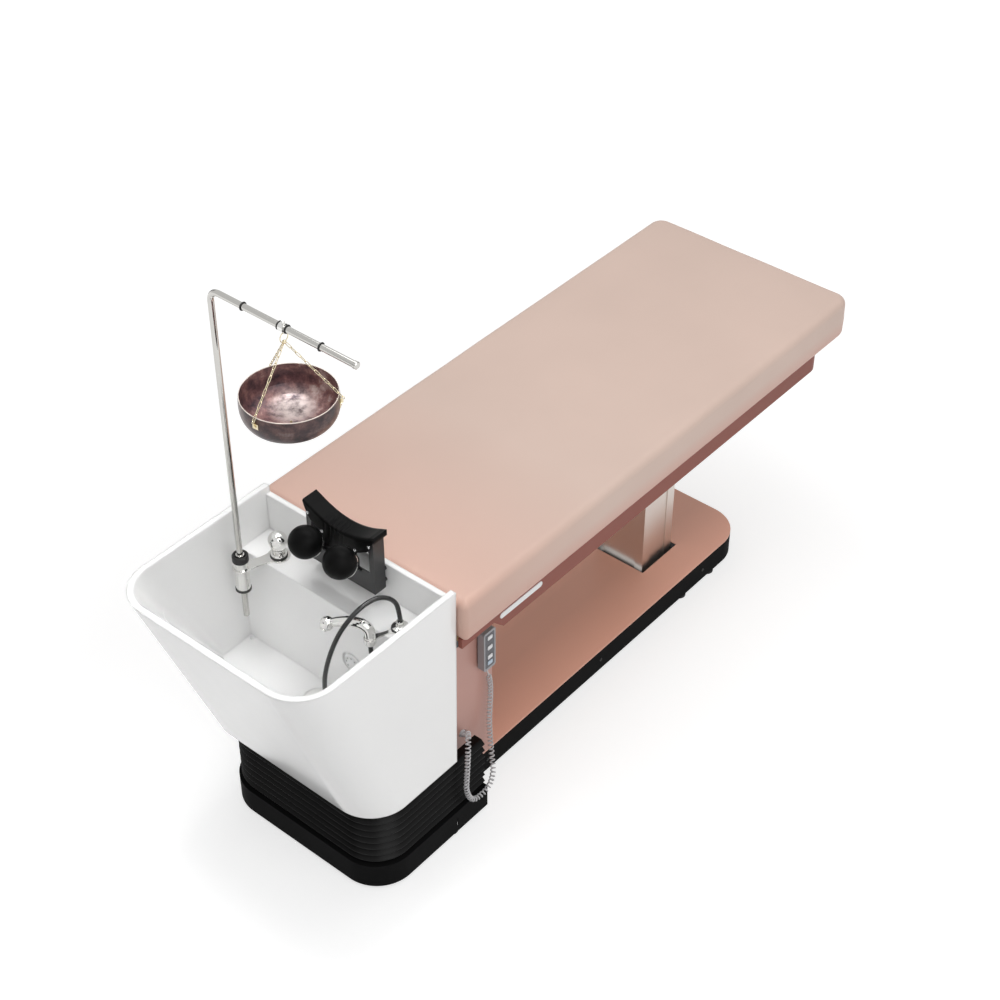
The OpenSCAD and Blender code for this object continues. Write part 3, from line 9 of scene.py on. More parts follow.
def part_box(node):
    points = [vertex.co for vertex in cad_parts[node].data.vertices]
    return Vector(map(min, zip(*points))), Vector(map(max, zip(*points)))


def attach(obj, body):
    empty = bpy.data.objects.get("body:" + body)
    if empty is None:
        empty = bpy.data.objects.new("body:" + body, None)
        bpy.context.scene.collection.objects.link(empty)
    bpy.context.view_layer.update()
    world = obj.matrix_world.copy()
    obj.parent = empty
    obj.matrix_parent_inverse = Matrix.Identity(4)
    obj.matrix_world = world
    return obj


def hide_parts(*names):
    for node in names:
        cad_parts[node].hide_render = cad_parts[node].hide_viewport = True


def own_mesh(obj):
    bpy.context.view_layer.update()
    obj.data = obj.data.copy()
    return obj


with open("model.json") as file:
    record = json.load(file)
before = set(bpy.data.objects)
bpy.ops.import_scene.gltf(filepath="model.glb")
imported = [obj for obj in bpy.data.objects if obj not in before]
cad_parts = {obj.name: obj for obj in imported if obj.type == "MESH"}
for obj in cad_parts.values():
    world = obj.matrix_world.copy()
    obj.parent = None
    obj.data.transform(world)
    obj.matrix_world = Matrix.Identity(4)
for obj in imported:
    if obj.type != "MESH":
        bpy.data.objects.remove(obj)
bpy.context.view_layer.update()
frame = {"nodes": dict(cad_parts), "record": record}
nodes = frame["nodes"]

MM = 1000  # millimetres in a metre
HALF = 1.113  # bench x of the frame's origin, in metres


def at(x, y, z):
    """A point in bench millimetres, as in part.scad, in the frame's metres."""
    return Vector((x / MM - HALF, y / MM, z / MM))


def lin(r, g, b):
    """Linear colour from an 8-bit display colour."""
    def one(v):
        v /= 255
        return v / 12.92 if v <= 0.04045 else ((v + 0.055) / 1.055) ** 2.4
    return (one(r), one(g), one(b), 1)


def grey(v, blue=None):
    """Linear grey, with another value in blue where one is given."""
    return (v, v, v if blue is None else blue, 1)


# ---------------------------------------------------------------- camera

CAMERA_PLACE = (-3.0988, -2.5584, 4.012)
CAMERA_PITCH, CAMERA_TURN = 50, -50
CAMERA_LENS, CAMERA_SENSOR, CAMERA_REACH = 70, 36, 100

cam = bpy.data.objects.new("camera", bpy.data.cameras.new("camera"))
bpy.context.scene.collection.objects.link(cam)
cam.location = CAMERA_PLACE
cam.rotation_euler = (math.radians(CAMERA_PITCH), 0, math.radians(CAMERA_TURN))
cam.data.lens = CAMERA_LENS
cam.data.sensor_width = CAMERA_SENSOR
cam.data.clip_end = CAMERA_REACH
bpy.context.scene.camera = cam


# ---------------------------------------------------------------- curves

def catmull(pts, steps):
    """The same smoothing as part.scad uses for its tubes."""
    out = []
    for i in range(len(pts) - 1):
        a, b = pts[max(i - 1, 0)], pts[i]
        c, d = pts[i + 1], pts[min(i + 2, len(pts) - 1)]
        for s in range(steps):
            u = s / steps
            out.append(0.5 * (2 * b + (c - a) * u + (2 * a - 5 * b + 4 * c - d) * u * u
                              + (3 * b - a - 3 * c + d) * u ** 3))
    out.append(pts[-1])
    return out


def poly_curve(name, pts, radius, resolution):
    """A round tube along an open line of points."""
    data = bpy.data.curves.new(name, "CURVE")
    data.dimensions = "3D"
    data.bevel_depth = radius
    data.bevel_resolution = resolution
    data.use_fill_caps = True
    spline = data.splines.new("POLY")
    spline.points.add(len(pts) - 1)
    for i, p in enumerate(pts):
        spline.points[i].co = (*p, 1)
        spline.points[i].radius = 1
    spline.use_smooth = True
    obj = bpy.data.objects.new(name, data)
    bpy.context.scene.collection.objects.link(obj)
    return obj


# Curly cord: straight tail, coil, straight tail, on the route of its solid
CORD_ROUTE = [at(*p) for p in (
    (747, -222, 419.7), (747.5, -222, 412), (751, -222, 400), (757, -222, 370), (758, -223, 330),
    (753, -225, 280), (746, -229, 230), (738, -239, 175), (722, -258, 132), (698, -282, 112),
    (664, -300, 104), (630, -303, 98), (598, -303, 104), (578, -303, 128), (566, -303, 170),
    (568, -303, 215), (574, -301, 260), (580, -298, 296), (590, -290, 318), (604, -278, 322),
    (622, -260, 311), (640, -238, 290), (653, -226, 266), (659.5, -221.5, 251), (660, -221, 245.8))]
CORD_R = 0.002  # radius of the cord itself
COIL_R = 0.006  # radius of the coil's centre line
COIL_PITCH = 0.0115
COIL_EASE = 0.012  # length of route over which the coil opens and closes
COIL_FIRST, COIL_LAST = 2, 20  # points of the route between which the cord is coiled
CORD_STEPS, TURN_STEPS = 24, 14
POINT_GAP = 0.0008  # points closer than this are dropped


def curly_points():
    line = catmull(CORD_ROUTE, CORD_STEPS)
    run = [0]
    for a, b in zip(line, line[1:]):
        run.append(run[-1] + (b - a).length)
    first, last = run[CORD_STEPS * COIL_FIRST], run[CORD_STEPS * COIL_LAST]
    pts, normal, turn = [], None, 0.0
    for i, p in enumerate(line[:-1]):
        tangent = (line[i + 1] - line[max(i - 1, 0)]).normalized()
        if normal is None:
            normal = tangent.cross(Vector((1, 0, 0))).normalized()
        normal = (normal - tangent * normal.dot(tangent)).normalized()
        side = tangent.cross(normal)
        step = (line[i + 1] - p).length
        count = max(1, math.ceil(step / COIL_PITCH * TURN_STEPS))
        for k in range(count):
            s = run[i] + step * k / count
            inside = min(s - first, last - s)
            grow = min(max(inside / COIL_EASE, 0), 1)
            grow = grow * grow * (3 - 2 * grow)
            if grow > 0:
                turn += 2 * math.pi * (step / count) / COIL_PITCH
                q = p.lerp(line[i + 1], k / count)
                pts.append(q + grow * COIL_R * (math.cos(turn) * normal + math.sin(turn) * side))
            elif k == 0:
                pts.append(p.copy())
    pts.append(line[-1])
    apart = pts[:1]
    for p in pts[1:]:
        if (p - apart[-1]).length > POINT_GAP:
            apart.append(p)
    return apart


curl = curly_points()
curly = poly_curve("curly_cord_coil", curl, CORD_R, resolution=3)

HOSE_ROUTE = [at(*p) for p in (
    (447, -205, 794.6), (447, -205, 812), (446, -197, 850), (434, -189, 872), (417, -181, 884),
    (398, -174, 889), (374, -167, 886), (346, -160, 875), (320, -154, 856), (299, -147, 830),
    (278, -140, 789), (265, -133, 742), (261, -126, 694), (266, -120, 645), (282, -116, 590),
    (302, -118, 538), (324, -130, 501), (348, -152, 485), (370, -184, 484.5), (384, -218, 494),
    (390, -238, 524), (389, -237, 570), (384, -219, 625), (379, -196, 680), (375, -176, 722),
    (375, -173, 758.4))]
HOSE_R = 0.006
HOSE_STEPS = 8

hose_line = catmull(HOSE_ROUTE, HOSE_STEPS)
hose = poly_curve("shower_hose_run", hose_line, HOSE_R, resolution=6)


# ---------------------------------------------------------------- shader nodes

def node_of(tree, kind, **values):
    """A node with each value set on its input of that name, or else on the node itself."""
    n = tree.nodes.new(kind)
    for key, value in values.items():
        if key in n.inputs:
            n.inputs[key].default_value = value
        else:
            setattr(n, key, value)
    return n


def worked(t, kind, operation, sources):
    """The outputs of a maths node fed, in order, with sockets or plain values."""
    step = node_of(t, kind, operation=operation)
    for target, source in zip(step.inputs, sources):
        if isinstance(source, bpy.types.NodeSocket):
            t.links.new(source, target)
        else:
            target.default_value = source
    return step.outputs


def number(t, operation, *sources):
    return worked(t, "ShaderNodeMath", operation, sources)["Value"]


def vector(t, operation, *sources):
    return worked(t, "ShaderNodeVectorMath", operation, sources)["Vector"]


def measure(t, operation, *sources):
    """A number worked out from vectors, such as a length."""
    return worked(t, "ShaderNodeVectorMath", operation, sources)["Value"]


def scaled(t, colour, amount):
    step = node_of(t, "ShaderNodeVectorMath", operation="SCALE")
    t.links.new(colour, step.inputs[0])
    t.links.new(amount, step.inputs["Scale"])
    return step.outputs["Vector"]


def ranged(t, source, start, end, low=0.0, high=1.0):
    """The source's start to end mapped to low to high, and held beyond them."""
    span = node_of(t, "ShaderNodeMapRange", **{"From Min": start, "From Max": end,
                                               "To Min": low, "To Max": high})
    t.links.new(source, span.inputs["Value"])
    return span.outputs["Result"]


def ramp_of(t, source, stops):
    """A colour ramp with its stops as position and colour, in rising order."""
    ramp = node_of(t, "ShaderNodeValToRGB")
    marks = ramp.color_ramp.elements
    marks[0].position, marks[0].color = stops[0]
    marks[1].position, marks[1].color = stops[-1]
    for position, colour in stops[1:-1]:
        marks.new(position).color = colour
    t.links.new(source, ramp.inputs["Fac"])
    return ramp.outputs["Color"]


def mixed(t, factor, base, over):
    """The plain colour over laid on base by factor."""
    mix = node_of(t, "ShaderNodeMix", data_type="RGBA")
    t.links.new(factor, mix.inputs[0])
    t.links.new(base, mix.inputs[6])
    mix.inputs[7].default_value = over
    return mix.outputs[2]


def noise_of(t, place, scale, detail, rough=0.5):
    cloud = node_of(t, "ShaderNodeTexNoise", Scale=scale, Detail=detail, Roughness=rough)
    t.links.new(place, cloud.inputs["Vector"])
    return cloud.outputs["Fac"]


def place_of(t):
    """The point on the surface, in the piece's own coordinates."""
    return node_of(t, "ShaderNodeTexCoord").outputs["Object"]


def axes_of(t, place):
    parts = node_of(t, "ShaderNodeSeparateXYZ")
    t.links.new(place, parts.inputs[0])
    return parts.outputs


def base_colour(t):
    return t.nodes["Principled BSDF"].inputs["Base Color"]


# ---------------------------------------------------------------- materials

COAT_ROUGH = 0.08
RELIEF = 0.0006  # height of the grain in metres
TINT_START, TINT_END, TINT_DETAIL = 0.3, 0.7, 3.0
SPECK_SCALE, SPECK_START, SPECK_END, SPECK_DETAIL = 900.0, 0.35, 0.6, 2.0
UNEVEN_FINER, UNEVEN_DETAIL = 7, 4.0  # the gloss varies in spots finer than the tint's
ROUGH_LEAST = 0.02
BRUSH_STRETCH, BRUSH_DETAIL = (1, 1, 0.02), 2.0
GRAIN_DETAIL = 3.0
BEVEL_SAMPLES = 4


def grain_of(t, place, kind, scale):
    """Height of the fine relief: leather cells, brushed lines or plain noise."""
    if kind == "leather":
        cells = node_of(t, "ShaderNodeTexVoronoi", Scale=scale, feature="DISTANCE_TO_EDGE")
        t.links.new(place, cells.inputs["Vector"])
        return cells.outputs["Distance"]
    if kind == "brushed":
        stretch = node_of(t, "ShaderNodeMapping", Scale=BRUSH_STRETCH)
        t.links.new(place, stretch.inputs["Vector"])
        return noise_of(t, stretch.outputs["Vector"], scale, BRUSH_DETAIL)
    return noise_of(t, place, scale, GRAIN_DETAIL)


def finish(name, colour, rough, metal=0.0, tint=0.06, tint_scale=3.0, grain=500.0, depth=0.05,
           rough_vary=0.06, coat=0.0, bevel=0.0, kind="noise", specular=0.5, speck=0.0):
    """A procedural surface: colour that drifts, uneven gloss, and a grain in its relief."""
    m = bpy.data.materials.new(name)
    m.use_nodes = True
    t = m.node_tree
    link = t.links.new
    shader = t.nodes["Principled BSDF"]
    shader.inputs["Metallic"].default_value = metal
    shader.inputs["Coat Weight"].default_value = coat
    shader.inputs["Coat Roughness"].default_value = COAT_ROUGH
    shader.inputs["Specular IOR Level"].default_value = specular
    place = place_of(t)
    dark = [c * (1 - tint) for c in colour[:3]] + [1]
    light = [min(1, c * (1 + tint)) for c in colour[:3]] + [1]
    drift = noise_of(t, place, tint_scale, TINT_DETAIL)
    colour_out = ramp_of(t, drift, ((TINT_START, dark), (TINT_END, light)))
    if speck:
        fine = noise_of(t, place, SPECK_SCALE, SPECK_DETAIL)
        spot = ramp_of(t, fine, ((SPECK_START, grey(1 - speck)), (SPECK_END, grey(1))))
        mix = node_of(t, "ShaderNodeMix", data_type="RGBA", blend_type="MULTIPLY")
        mix.inputs[0].default_value = 1
        link(colour_out, mix.inputs[6])
        link(spot, mix.inputs[7])
        colour_out = mix.outputs[2]
    link(colour_out, base_colour(t))
    uneven = noise_of(t, place, tint_scale * UNEVEN_FINER, UNEVEN_DETAIL)
    glossiest, dullest = max(ROUGH_LEAST, rough - rough_vary), min(1, rough + rough_vary)
    link(ranged(t, uneven, 0, 1, glossiest, dullest), shader.inputs["Roughness"])
    relief = node_of(t, "ShaderNodeBump", Strength=depth, Distance=RELIEF)
    link(grain_of(t, place, kind, grain), relief.inputs["Height"])
    if bevel:
        soft = node_of(t, "ShaderNodeBevel", samples=BEVEL_SAMPLES, Radius=bevel)
        link(soft.outputs["Normal"], relief.inputs["Normal"])
    link(relief.outputs["Normal"], shader.inputs["Normal"])
    return m


# Name: colour, roughness, other settings. The names are the record's material slots, apart
# from those that OWN_FINISH gives to single nodes.
FINISHES = {
    "chassis_paint": (grey(0.035, 0.037), 0.55, dict(grain=700, depth=0.15, bevel=0.001)),
    "skirt_black": (grey(0.008, 0.0082), 0.6,
                    dict(grain=1400, depth=0.12, bevel=0.0015, specular=0.02)),
    "bellows_black": (grey(0.0035, 0.0037), 0.3,
                      dict(grain=900, depth=0.15, tint=0.2, specular=0.12)),
    "cover_pink": (lin(240, 182, 160), 0.42,
                   dict(tint=0.03, grain=1800, depth=0.06, speck=0.06, bevel=0.001, coat=0.1)),
    # Painted shade: the pedestal's copy of the cover's pink, darkened for the shade under the
    # cushion
    "pedestal_pink_shaded": (lin(196, 148, 136), 0.42,
                      dict(tint=0.03, grain=1800, depth=0.06, speck=0.05, bevel=0.002, coat=0.1)),
    # Painted shade: the fascia's pink is darkened to the shade under the cushion's overhang
    "fascia_mauve": (lin(141, 81, 69), 0.45,
                     dict(tint=0.04, grain=1500, depth=0.06, bevel=0.001, specular=0.2)),
    "foot_rubber": (grey(0.02), 0.7, dict(grain=800, depth=0.3)),
    "dark_screw": (grey(0.02), 0.35, dict(metal=0.5, grain=900)),
    "column_steel": ((0.72, 0.67, 0.625, 1), 0.36,
                     dict(metal=1, tint=0.03, grain=500, depth=0.025, kind="brushed",
                          bevel=0.0008, rough_vary=0.02)),
    "glide_white": ((0.8, 0.78, 0.72, 1), 0.5, {}),
    "actuator_grey": (grey(0.12, 0.125), 0.5, {}),
    "rod_steel": ((0.72, 0.73, 0.74, 1), 0.22, dict(metal=1, tint=0.03, bevel=0.0005)),
    "box_black": (grey(0.02), 0.5, dict(grain=1200, depth=0.2)),
    "hook_grey": (grey(0.2, 0.21), 0.35, {}),
    "handset_silver": (lin(158, 158, 162), 0.33, dict(grain=1500, depth=0.05, bevel=0.0015)),
    "handset_dark": (lin(84, 84, 90), 0.35, dict(grain=1500, depth=0.05, bevel=0.0006)),
    "key_white": (lin(235, 235, 236), 0.3, dict(grain=1200, depth=0.03, bevel=0.0008)),
    "key_blue": (lin(188, 205, 220), 0.3, dict(grain=1200, depth=0.03, bevel=0.0008)),
    "cord_silver": (lin(204, 203, 205), 0.28, dict(grain=900, depth=0.05)),
    "board_wood": (lin(196, 160, 120), 0.6, dict(kind="brushed", grain=60, depth=0.3, tint=0.2)),
    "cushion_leather": (lin(216, 191, 178), 0.46,
                        dict(tint=0.035, tint_scale=2.2, grain=620, depth=0.16, kind="leather",
                             coat=0.05)),
    "strip_white": (lin(240, 240, 240), 0.35, dict(tint=0.02, bevel=0.0006)),
    "basin_gloss": (grey(0.92, 0.915), 0.16,
                    dict(tint=0.012, grain=40, depth=0.008, coat=0.35, bevel=0.008,
                         rough_vary=0.03)),
    "strainer_pale": (grey(0.86, 0.84), 0.35, dict(metal=0.4, grain=600, depth=0.04)),
    "trap_white": (lin(228, 228, 224), 0.5, {}),
    "stand_black": (grey(0.03, 0.031), 0.36,
                    dict(grain=1500, depth=0.1, bevel=0.0006, specular=0.4)),
    "pad_rubber": (grey(0.0045), 0.42, dict(grain=1300, depth=0.14, specular=0.07)),
    "black_rubber": (grey(0.01), 0.5, {}),
    "hose_black": (grey(0.012), 0.2, dict(grain=900, depth=0.05, coat=0.3)),
    "chrome": ((0.8, 0.795, 0.775, 1), 0.07,
               dict(metal=1, tint=0.01, grain=60, depth=0.01, bevel=0.0006, rough_vary=0.03)),
    # Painted shade in the reflection: a darker copy of the chrome for the pole and its arm cap
    "pole_chrome_shaded": ((0.58, 0.57, 0.545, 1), 0.12, dict(metal=1, tint=0.02, grain=200, depth=0.03)),
    "pale_brass": (lin(222, 210, 180), 0.22,
                   dict(metal=1, tint=0.08, tint_scale=40, grain=500, depth=0.05)),
    "copper_patina": ((0.2, 0.1, 0.09, 1), 0.32,
                      dict(metal=0.4, grain=220, depth=0.5, bevel=0.001, coat=0.2)),
}
OWN_FINISH = {"pedestal_cover": "pedestal_pink_shaded", "pole": "pole_chrome_shaded", "arm_cap": "pole_chrome_shaded",
              "drain_strainer": "strainer_pale"}

M = {name: finish(name, colour, rough, **more) for name, (colour, rough, more) in FINISHES.items()}

# Painted shade and highlight: grey by place within a pleat
PLEAT_PAINTED_GREYS = ((0.40, 0.002), (0.50, 0.028), (0.56, 0.010), (0.80, 0.004), (0.93, 0.001))


def paint_pleat_shade():
    """Painted highlight on each ridge and painted shade in each valley of the gaiter, by the
    sleeve's pleat_run.
    """
    t = M["bellows_black"].node_tree
    turns = node_of(t, "ShaderNodeAttribute", attribute_name="pleat_run").outputs["Fac"]
    stops = [(place, grey(v)) for place, v in PLEAT_PAINTED_GREYS]
    t.links.new(ramp_of(t, number(t, "FRACT", turns), stops), base_colour(t))


# Painted shade laid on the cushion's hide, with a warm painted bounce from the base at the lower
# edge: its colour, its largest share, and its reach in metres
LOWER_SHADE, LOWER_SHARE, LOWER_REACH = lin(214, 158, 142), 0.7, 0.062
HEAD_SHADE, HEAD_SHARE, HEAD_REACH = lin(206, 164, 148), 0.72, 0.55
FOOT_SHADE, FOOT_SHARE, FOOT_START, FOOT_FULL = lin(188, 132, 118), 0.6, 0.02, 0.003


def paint_cushion_shade():
    """Painted shade makes the cushion's hide deeper in colour at its lower edge, head end and foot
    end.
    """
    t = M["cushion_leather"].node_tree
    hide = base_colour(t).links[0].from_socket
    axes = axes_of(t, place_of(t))
    low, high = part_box("cushion")
    lower = ranged(t, axes["Z"], low[2], low[2] + LOWER_REACH, LOWER_SHARE, 0.0)
    head = ranged(t, axes["X"], low[0], low[0] + HEAD_REACH, HEAD_SHARE, 0.0)
    foot = ranged(t, axes["X"], high[0] - FOOT_START, high[0] - FOOT_FULL, 0.0, FOOT_SHARE)
    hide = mixed(t, lower, hide, LOWER_SHADE)
    hide = mixed(t, head, hide, HEAD_SHADE)
    hide = mixed(t, foot, hide, FOOT_SHADE)
    t.links.new(hide, base_colour(t))


# Painted shade on the base's cover: where the fade starts, its share under the couch, and its share
# at the long edges
COVER_MIDDLE, COVER_SHADED, COVER_LIT = 0.04, 0.84, 1.16


def paint_cover_shade():
    """Painted shade under the couch and painted light towards the base cover's two long edges, as
    the photograph shows it.
    """
    t = M["cover_pink"].node_tree
    pink = base_colour(t).links[0].from_socket
    off = number(t, "ABSOLUTE", axes_of(t, place_of(t))["Y"])
    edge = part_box("base_cover")[1][1]
    fade = ranged(t, off, COVER_MIDDLE, edge, COVER_SHADED, COVER_LIT)
    t.links.new(scaled(t, pink, fade), base_colour(t))


BLOTCH_SCALE, BLOTCH_DETAIL, BLOTCH_ROUGH = 22.0, 6.0, 0.65
BLOTCHES = ((0.34, lin(56, 42, 50)), (0.46, lin(104, 74, 76)), (0.56, lin(146, 108, 104)),
            (0.7, lin(206, 186, 180)))
BOWL_CENTRE = at(355, 16, 1429)
FACING_SOFT, OUTSIDE_SHADE = 0.01, 0.36
PALE_CENTRE, PALE_FULL, PALE_END, PALE_TINT = at(392, 46, 1350), 0.012, 0.062, lin(236, 226, 222)
PALE_BLOT_START, PALE_BLOT_FULL = 0.36, 0.54
RIM_START, RIM_FULL, RIM_TINT = 1.4270, 1.4284, lin(226, 214, 204)


def patina_and_outside_shade():
    """Old copper: purple brown blotches, paler on the bowl's floor and along its rim, with painted
    shade on the outside.
    """
    t = M["copper_patina"].node_tree
    place = place_of(t)
    big = noise_of(t, place, BLOTCH_SCALE, BLOTCH_DETAIL, BLOTCH_ROUGH)
    # painted shade: the outside is darker than the inside
    outward = vector(t, "SUBTRACT", place, tuple(BOWL_CENTRE))
    normal = node_of(t, "ShaderNodeNewGeometry").outputs["Normal"]
    facing = measure(t, "DOT_PRODUCT", outward, normal)
    side = ranged(t, facing, -FACING_SOFT, FACING_SOFT, 1.0, OUTSIDE_SHADE)
    aged = scaled(t, ramp_of(t, big, BLOTCHES), side)
    # a pale patch on the bowl's floor, broken up by the blotches
    off = vector(t, "SUBTRACT", place, tuple(PALE_CENTRE))
    near = ranged(t, measure(t, "LENGTH", off), PALE_FULL, PALE_END, 1.0, 0.0)
    patch = number(t, "MULTIPLY", near, ranged(t, big, PALE_BLOT_START, PALE_BLOT_FULL))
    patched = mixed(t, patch, aged, PALE_TINT)
    # bare metal along the rim
    rim = ranged(t, axes_of(t, place)["Z"], RIM_START, RIM_FULL)
    t.links.new(mixed(t, rim, patched, RIM_TINT), base_colour(t))


paint_pleat_shade()
paint_cushion_shade()
paint_cover_shade()
patina_and_outside_shade()

slot_of = {s["node"]: s["material_slot"] for s in frame["record"]["subparts"]}
for name, obj in nodes.items():
    obj.data.materials.clear()
    obj.data.materials.append(M[OWN_FINISH.get(name, slot_of[name])])


def paint(obj, slot):
    obj.data.materials.clear()
    obj.data.materials.append(M[slot])


paint(curly, "cord_silver")
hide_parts("curly_cord")
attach(curly, "base")
paint(hose, "hose_black")
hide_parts("shower_hose")
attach(hose, "couch")


# ---------------------------------------------------------------- meshes

MERGE = 1e-5


def mesh_object(name, verts, faces, smooth=True):
    data = bpy.data.meshes.new(name)
    data.from_pydata([tuple(v) for v in verts], [], faces)
    data.update()
    work = bmesh.new()
    work.from_mesh(data)
    bmesh.ops.remove_doubles(work, verts=work.verts, dist=MERGE)
    bmesh.ops.recalc_face_normals(work, faces=work.faces)
    work.to_mesh(data)
    work.free()
    for p in data.polygons:
        p.use_smooth = smooth
    obj = bpy.data.objects.new(name, data)
    bpy.context.scene.collection.objects.link(obj)
    return obj


def lofted(name, rings):
    """A closed skin over rings of equal length, capped at its first and last ring."""
    n, rows = len(rings[0]), len(rings)
    faces = [[i * n + k, i * n + (k + 1) % n, (i + 1) * n + (k + 1) % n, (i + 1) * n + k]
             for i in range(rows - 1) for k in range(n)]
    faces.append(list(range(n - 1, -1, -1)))
    faces.append([(rows - 1) * n + k for k in range(n)])
    return mesh_object(name, [v for ring in rings for v in ring], faces)


# Cushion, in bench millimetres
CUSHION_X0, CUSHION_X1, CUSHION_HALF, CUSHION_LOW = 526, 2226, 345, 752
CUSHION_HEAD_R, CUSHION_FOOT_R = 14, 44
CORNER_LEAST, CORNER_MOST = 0.4, 0.98  # radius in mm, and as a share of the half width
CORNER_STEPS, LONG_STEPS, END_STEPS = 10, 40, 14
# Inset and height, up the lower edge and over the crown
LOWER_EDGE = ((60, 0), (26, 0), (12, 1.2), (4.5, 5), (1.6, 12))
CROWN = ((40, 123.6), (60, 124.0), (95, 124.5), (140, 124.9), (200, 125.2), (270, 125.4),
         (330, 125.5), (343, 125.5))
SIDE_LOW, SIDE_TALL, SIDE_STEPS = 12, 88, 12
SIDE_PULL, SIDE_POWER = 1.4, 1.5  # the side pulls in towards its upper and lower edge
EDGE_R, EDGE_DEGREES = 23, 10
# The sides waver between these heights, near the edge, and the top above its own height
SWELL, SWELL_BELOW, SWELL_INSET, SWELL_EDGE = 0.9, 124, 30, 40
SWELL_X, SWELL_Y, SWELL_Z = 0.006, 0.02, 0.02
GIVE, GIVE_ABOVE = 0.7, 110
GIVE_X, GIVE_Y, GIVE_SHIFT = 0.004, 0.007, 7


def outline(x0, x1, half, r_head, r_foot, inset):
    """Rounded plan outline, evenly sampled, pulled in by inset (bench mm)."""
    x0, x1, half = x0 + inset, x1 - inset, half - inset
    ra, rb = max(r_head - inset, CORNER_LEAST), max(r_foot - inset, CORNER_LEAST)
    ra, rb = min(ra, half * CORNER_MOST), min(rb, half * CORNER_MOST)
    pts = []

    def bend(cx, cy, r, start):
        for k in range(CORNER_STEPS):
            a = math.radians(start + 90 * k / CORNER_STEPS)
            pts.append((cx + r * math.cos(a), cy + r * math.sin(a)))

    def run(ax, ay, bx, by, n):
        for k in range(n):
            pts.append((ax + (bx - ax) * k / n, ay + (by - ay) * k / n))

    bend(x1 - rb, half - rb, rb, 0)
    run(x1 - rb, half, x0 + ra, half, LONG_STEPS)
    bend(x0 + ra, half - ra, ra, 90)
    run(x0, half - ra, x0, -(half - ra), END_STEPS)
    bend(x0 + ra, -(half - ra), ra, 180)
    run(x0 + ra, -half, x1 - rb, -half, LONG_STEPS)
    bend(x1 - rb, -(half - rb), rb, 270)
    run(x1, -(half - rb), x1, half - rb, END_STEPS)
    return pts


def cushion_profile():
    """Inset and height up the side, round the edge and over the crown."""
    profile = list(LOWER_EDGE)
    for k in range(1, SIDE_STEPS):
        pull = SIDE_PULL * abs(math.cos(math.pi * k / SIDE_STEPS)) ** SIDE_POWER
        profile.append((pull, SIDE_LOW + SIDE_TALL * k / SIDE_STEPS))
    for a in range(0, 91, EDGE_DEGREES):
        w = math.radians(a)
        profile.append((SIDE_PULL + EDGE_R * (1 - math.cos(w)),
                        SIDE_LOW + SIDE_TALL + EDGE_R * math.sin(w)))
    return profile + list(CROWN)


def cushion():
    """Long foam cushion: crowned top, soft upper edges, sides that swell a little."""
    rings = []
    for inset, rise in cushion_profile():
        ring = []
        for x, y in outline(CUSHION_X0, CUSHION_X1, CUSHION_HALF, CUSHION_HEAD_R, CUSHION_FOOT_R,
                            inset):
            swell, give = 0.0, 0
            if SIDE_LOW < rise < SWELL_BELOW and inset < SWELL_INSET:
                swell = SWELL * noise.noise(Vector((x * SWELL_X, y * SWELL_Y, rise * SWELL_Z)))
            if rise > GIVE_ABOVE:
                give = GIVE * noise.noise(Vector((x * GIVE_X + GIVE_SHIFT, y * GIVE_Y, 0)))
            aside = (swell if y > 0 else -swell) * (abs(y) > CUSHION_HALF - SWELL_EDGE)
            ring.append(at(x, y + aside, CUSHION_LOW + rise + give))
        rings.append(ring)
    return lofted("cushion_cover", rings)


pad = cushion()
paint(pad, "cushion_leather")
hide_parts("cushion")
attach(pad, "couch")

# Neck rest, in bench millimetres: a rubber sheet over the stand's saddle, with an apron in front
PAD_HALF, PAD_END, PAD_DIP = 116.0, 1003.5, 36.0
PAD_DEEP, PAD_ROUND, PAD_THICK, APRON_THICK = 49.0, 5.0, 20.0, 4.0
PAD_FACE = 459  # bench x of the apron's face
APRON_LOW, APRON_LEAST = 893, 6  # the hem's lowest height, and the apron's least height
# Outwards the hem first rises between RISE_FROM and RISE_TO, then follows HEM
RISE_FROM, RISE_TO, RISE = 50, 57, 30
HEM = ((53, 924), (93, 947.5), (101, 959), (110, 978), (116, 996))
# Centre, width and depth of each gather
CREASES = ((44, 3.0, 2.2), (27, 3.4, 4.4), (12, 3.0, 3.6), (-2, 3.2, 4.0), (-17, 2.8, 2.0))
CREASE_LEAN, CREASE_PEAK, CREASE_SPREAD = 7, 0.2, 0.5
CREASE_FACE, CREASE_TOP = 0.5, 0.8  # share of a gather's depth on the apron and on the top
DROOP, DROOP_FROM, DROOP_SPAN = 2.5, 0.86, 0.14  # how the sheet's two ends hang
PAD_COLS, APRON_ROWS, TOP_ROWS = 150, 16, 10
EDGE_ROWS = (-0.07, -0.045, -0.02)  # closer rows round the front edge


def pad_top(y):
    return PAD_END - PAD_DIP * (1 - (y / PAD_HALF) ** 2)


def pad_hem(y):
    y = abs(y)
    if RISE_FROM < y < RISE_TO:
        return APRON_LOW + (y - RISE_FROM) / (RISE_TO - RISE_FROM) * RISE
    best = APRON_LOW
    for (ya, za), (yb, zb) in zip(HEM, HEM[1:]):
        if ya <= y <= yb:
            best = za + (zb - za) * (y - ya) / (yb - ya)
    return best


def crease(y, along):
    """Gathers near the middle, deepest just behind the front edge."""
    total = 0
    for centre, wide, deep in CREASES:
        total += deep * math.exp(-((y - centre - CREASE_LEAN * along) / wide) ** 2)
    return total * math.exp(-((along - CREASE_PEAK) / CREASE_SPREAD) ** 2)


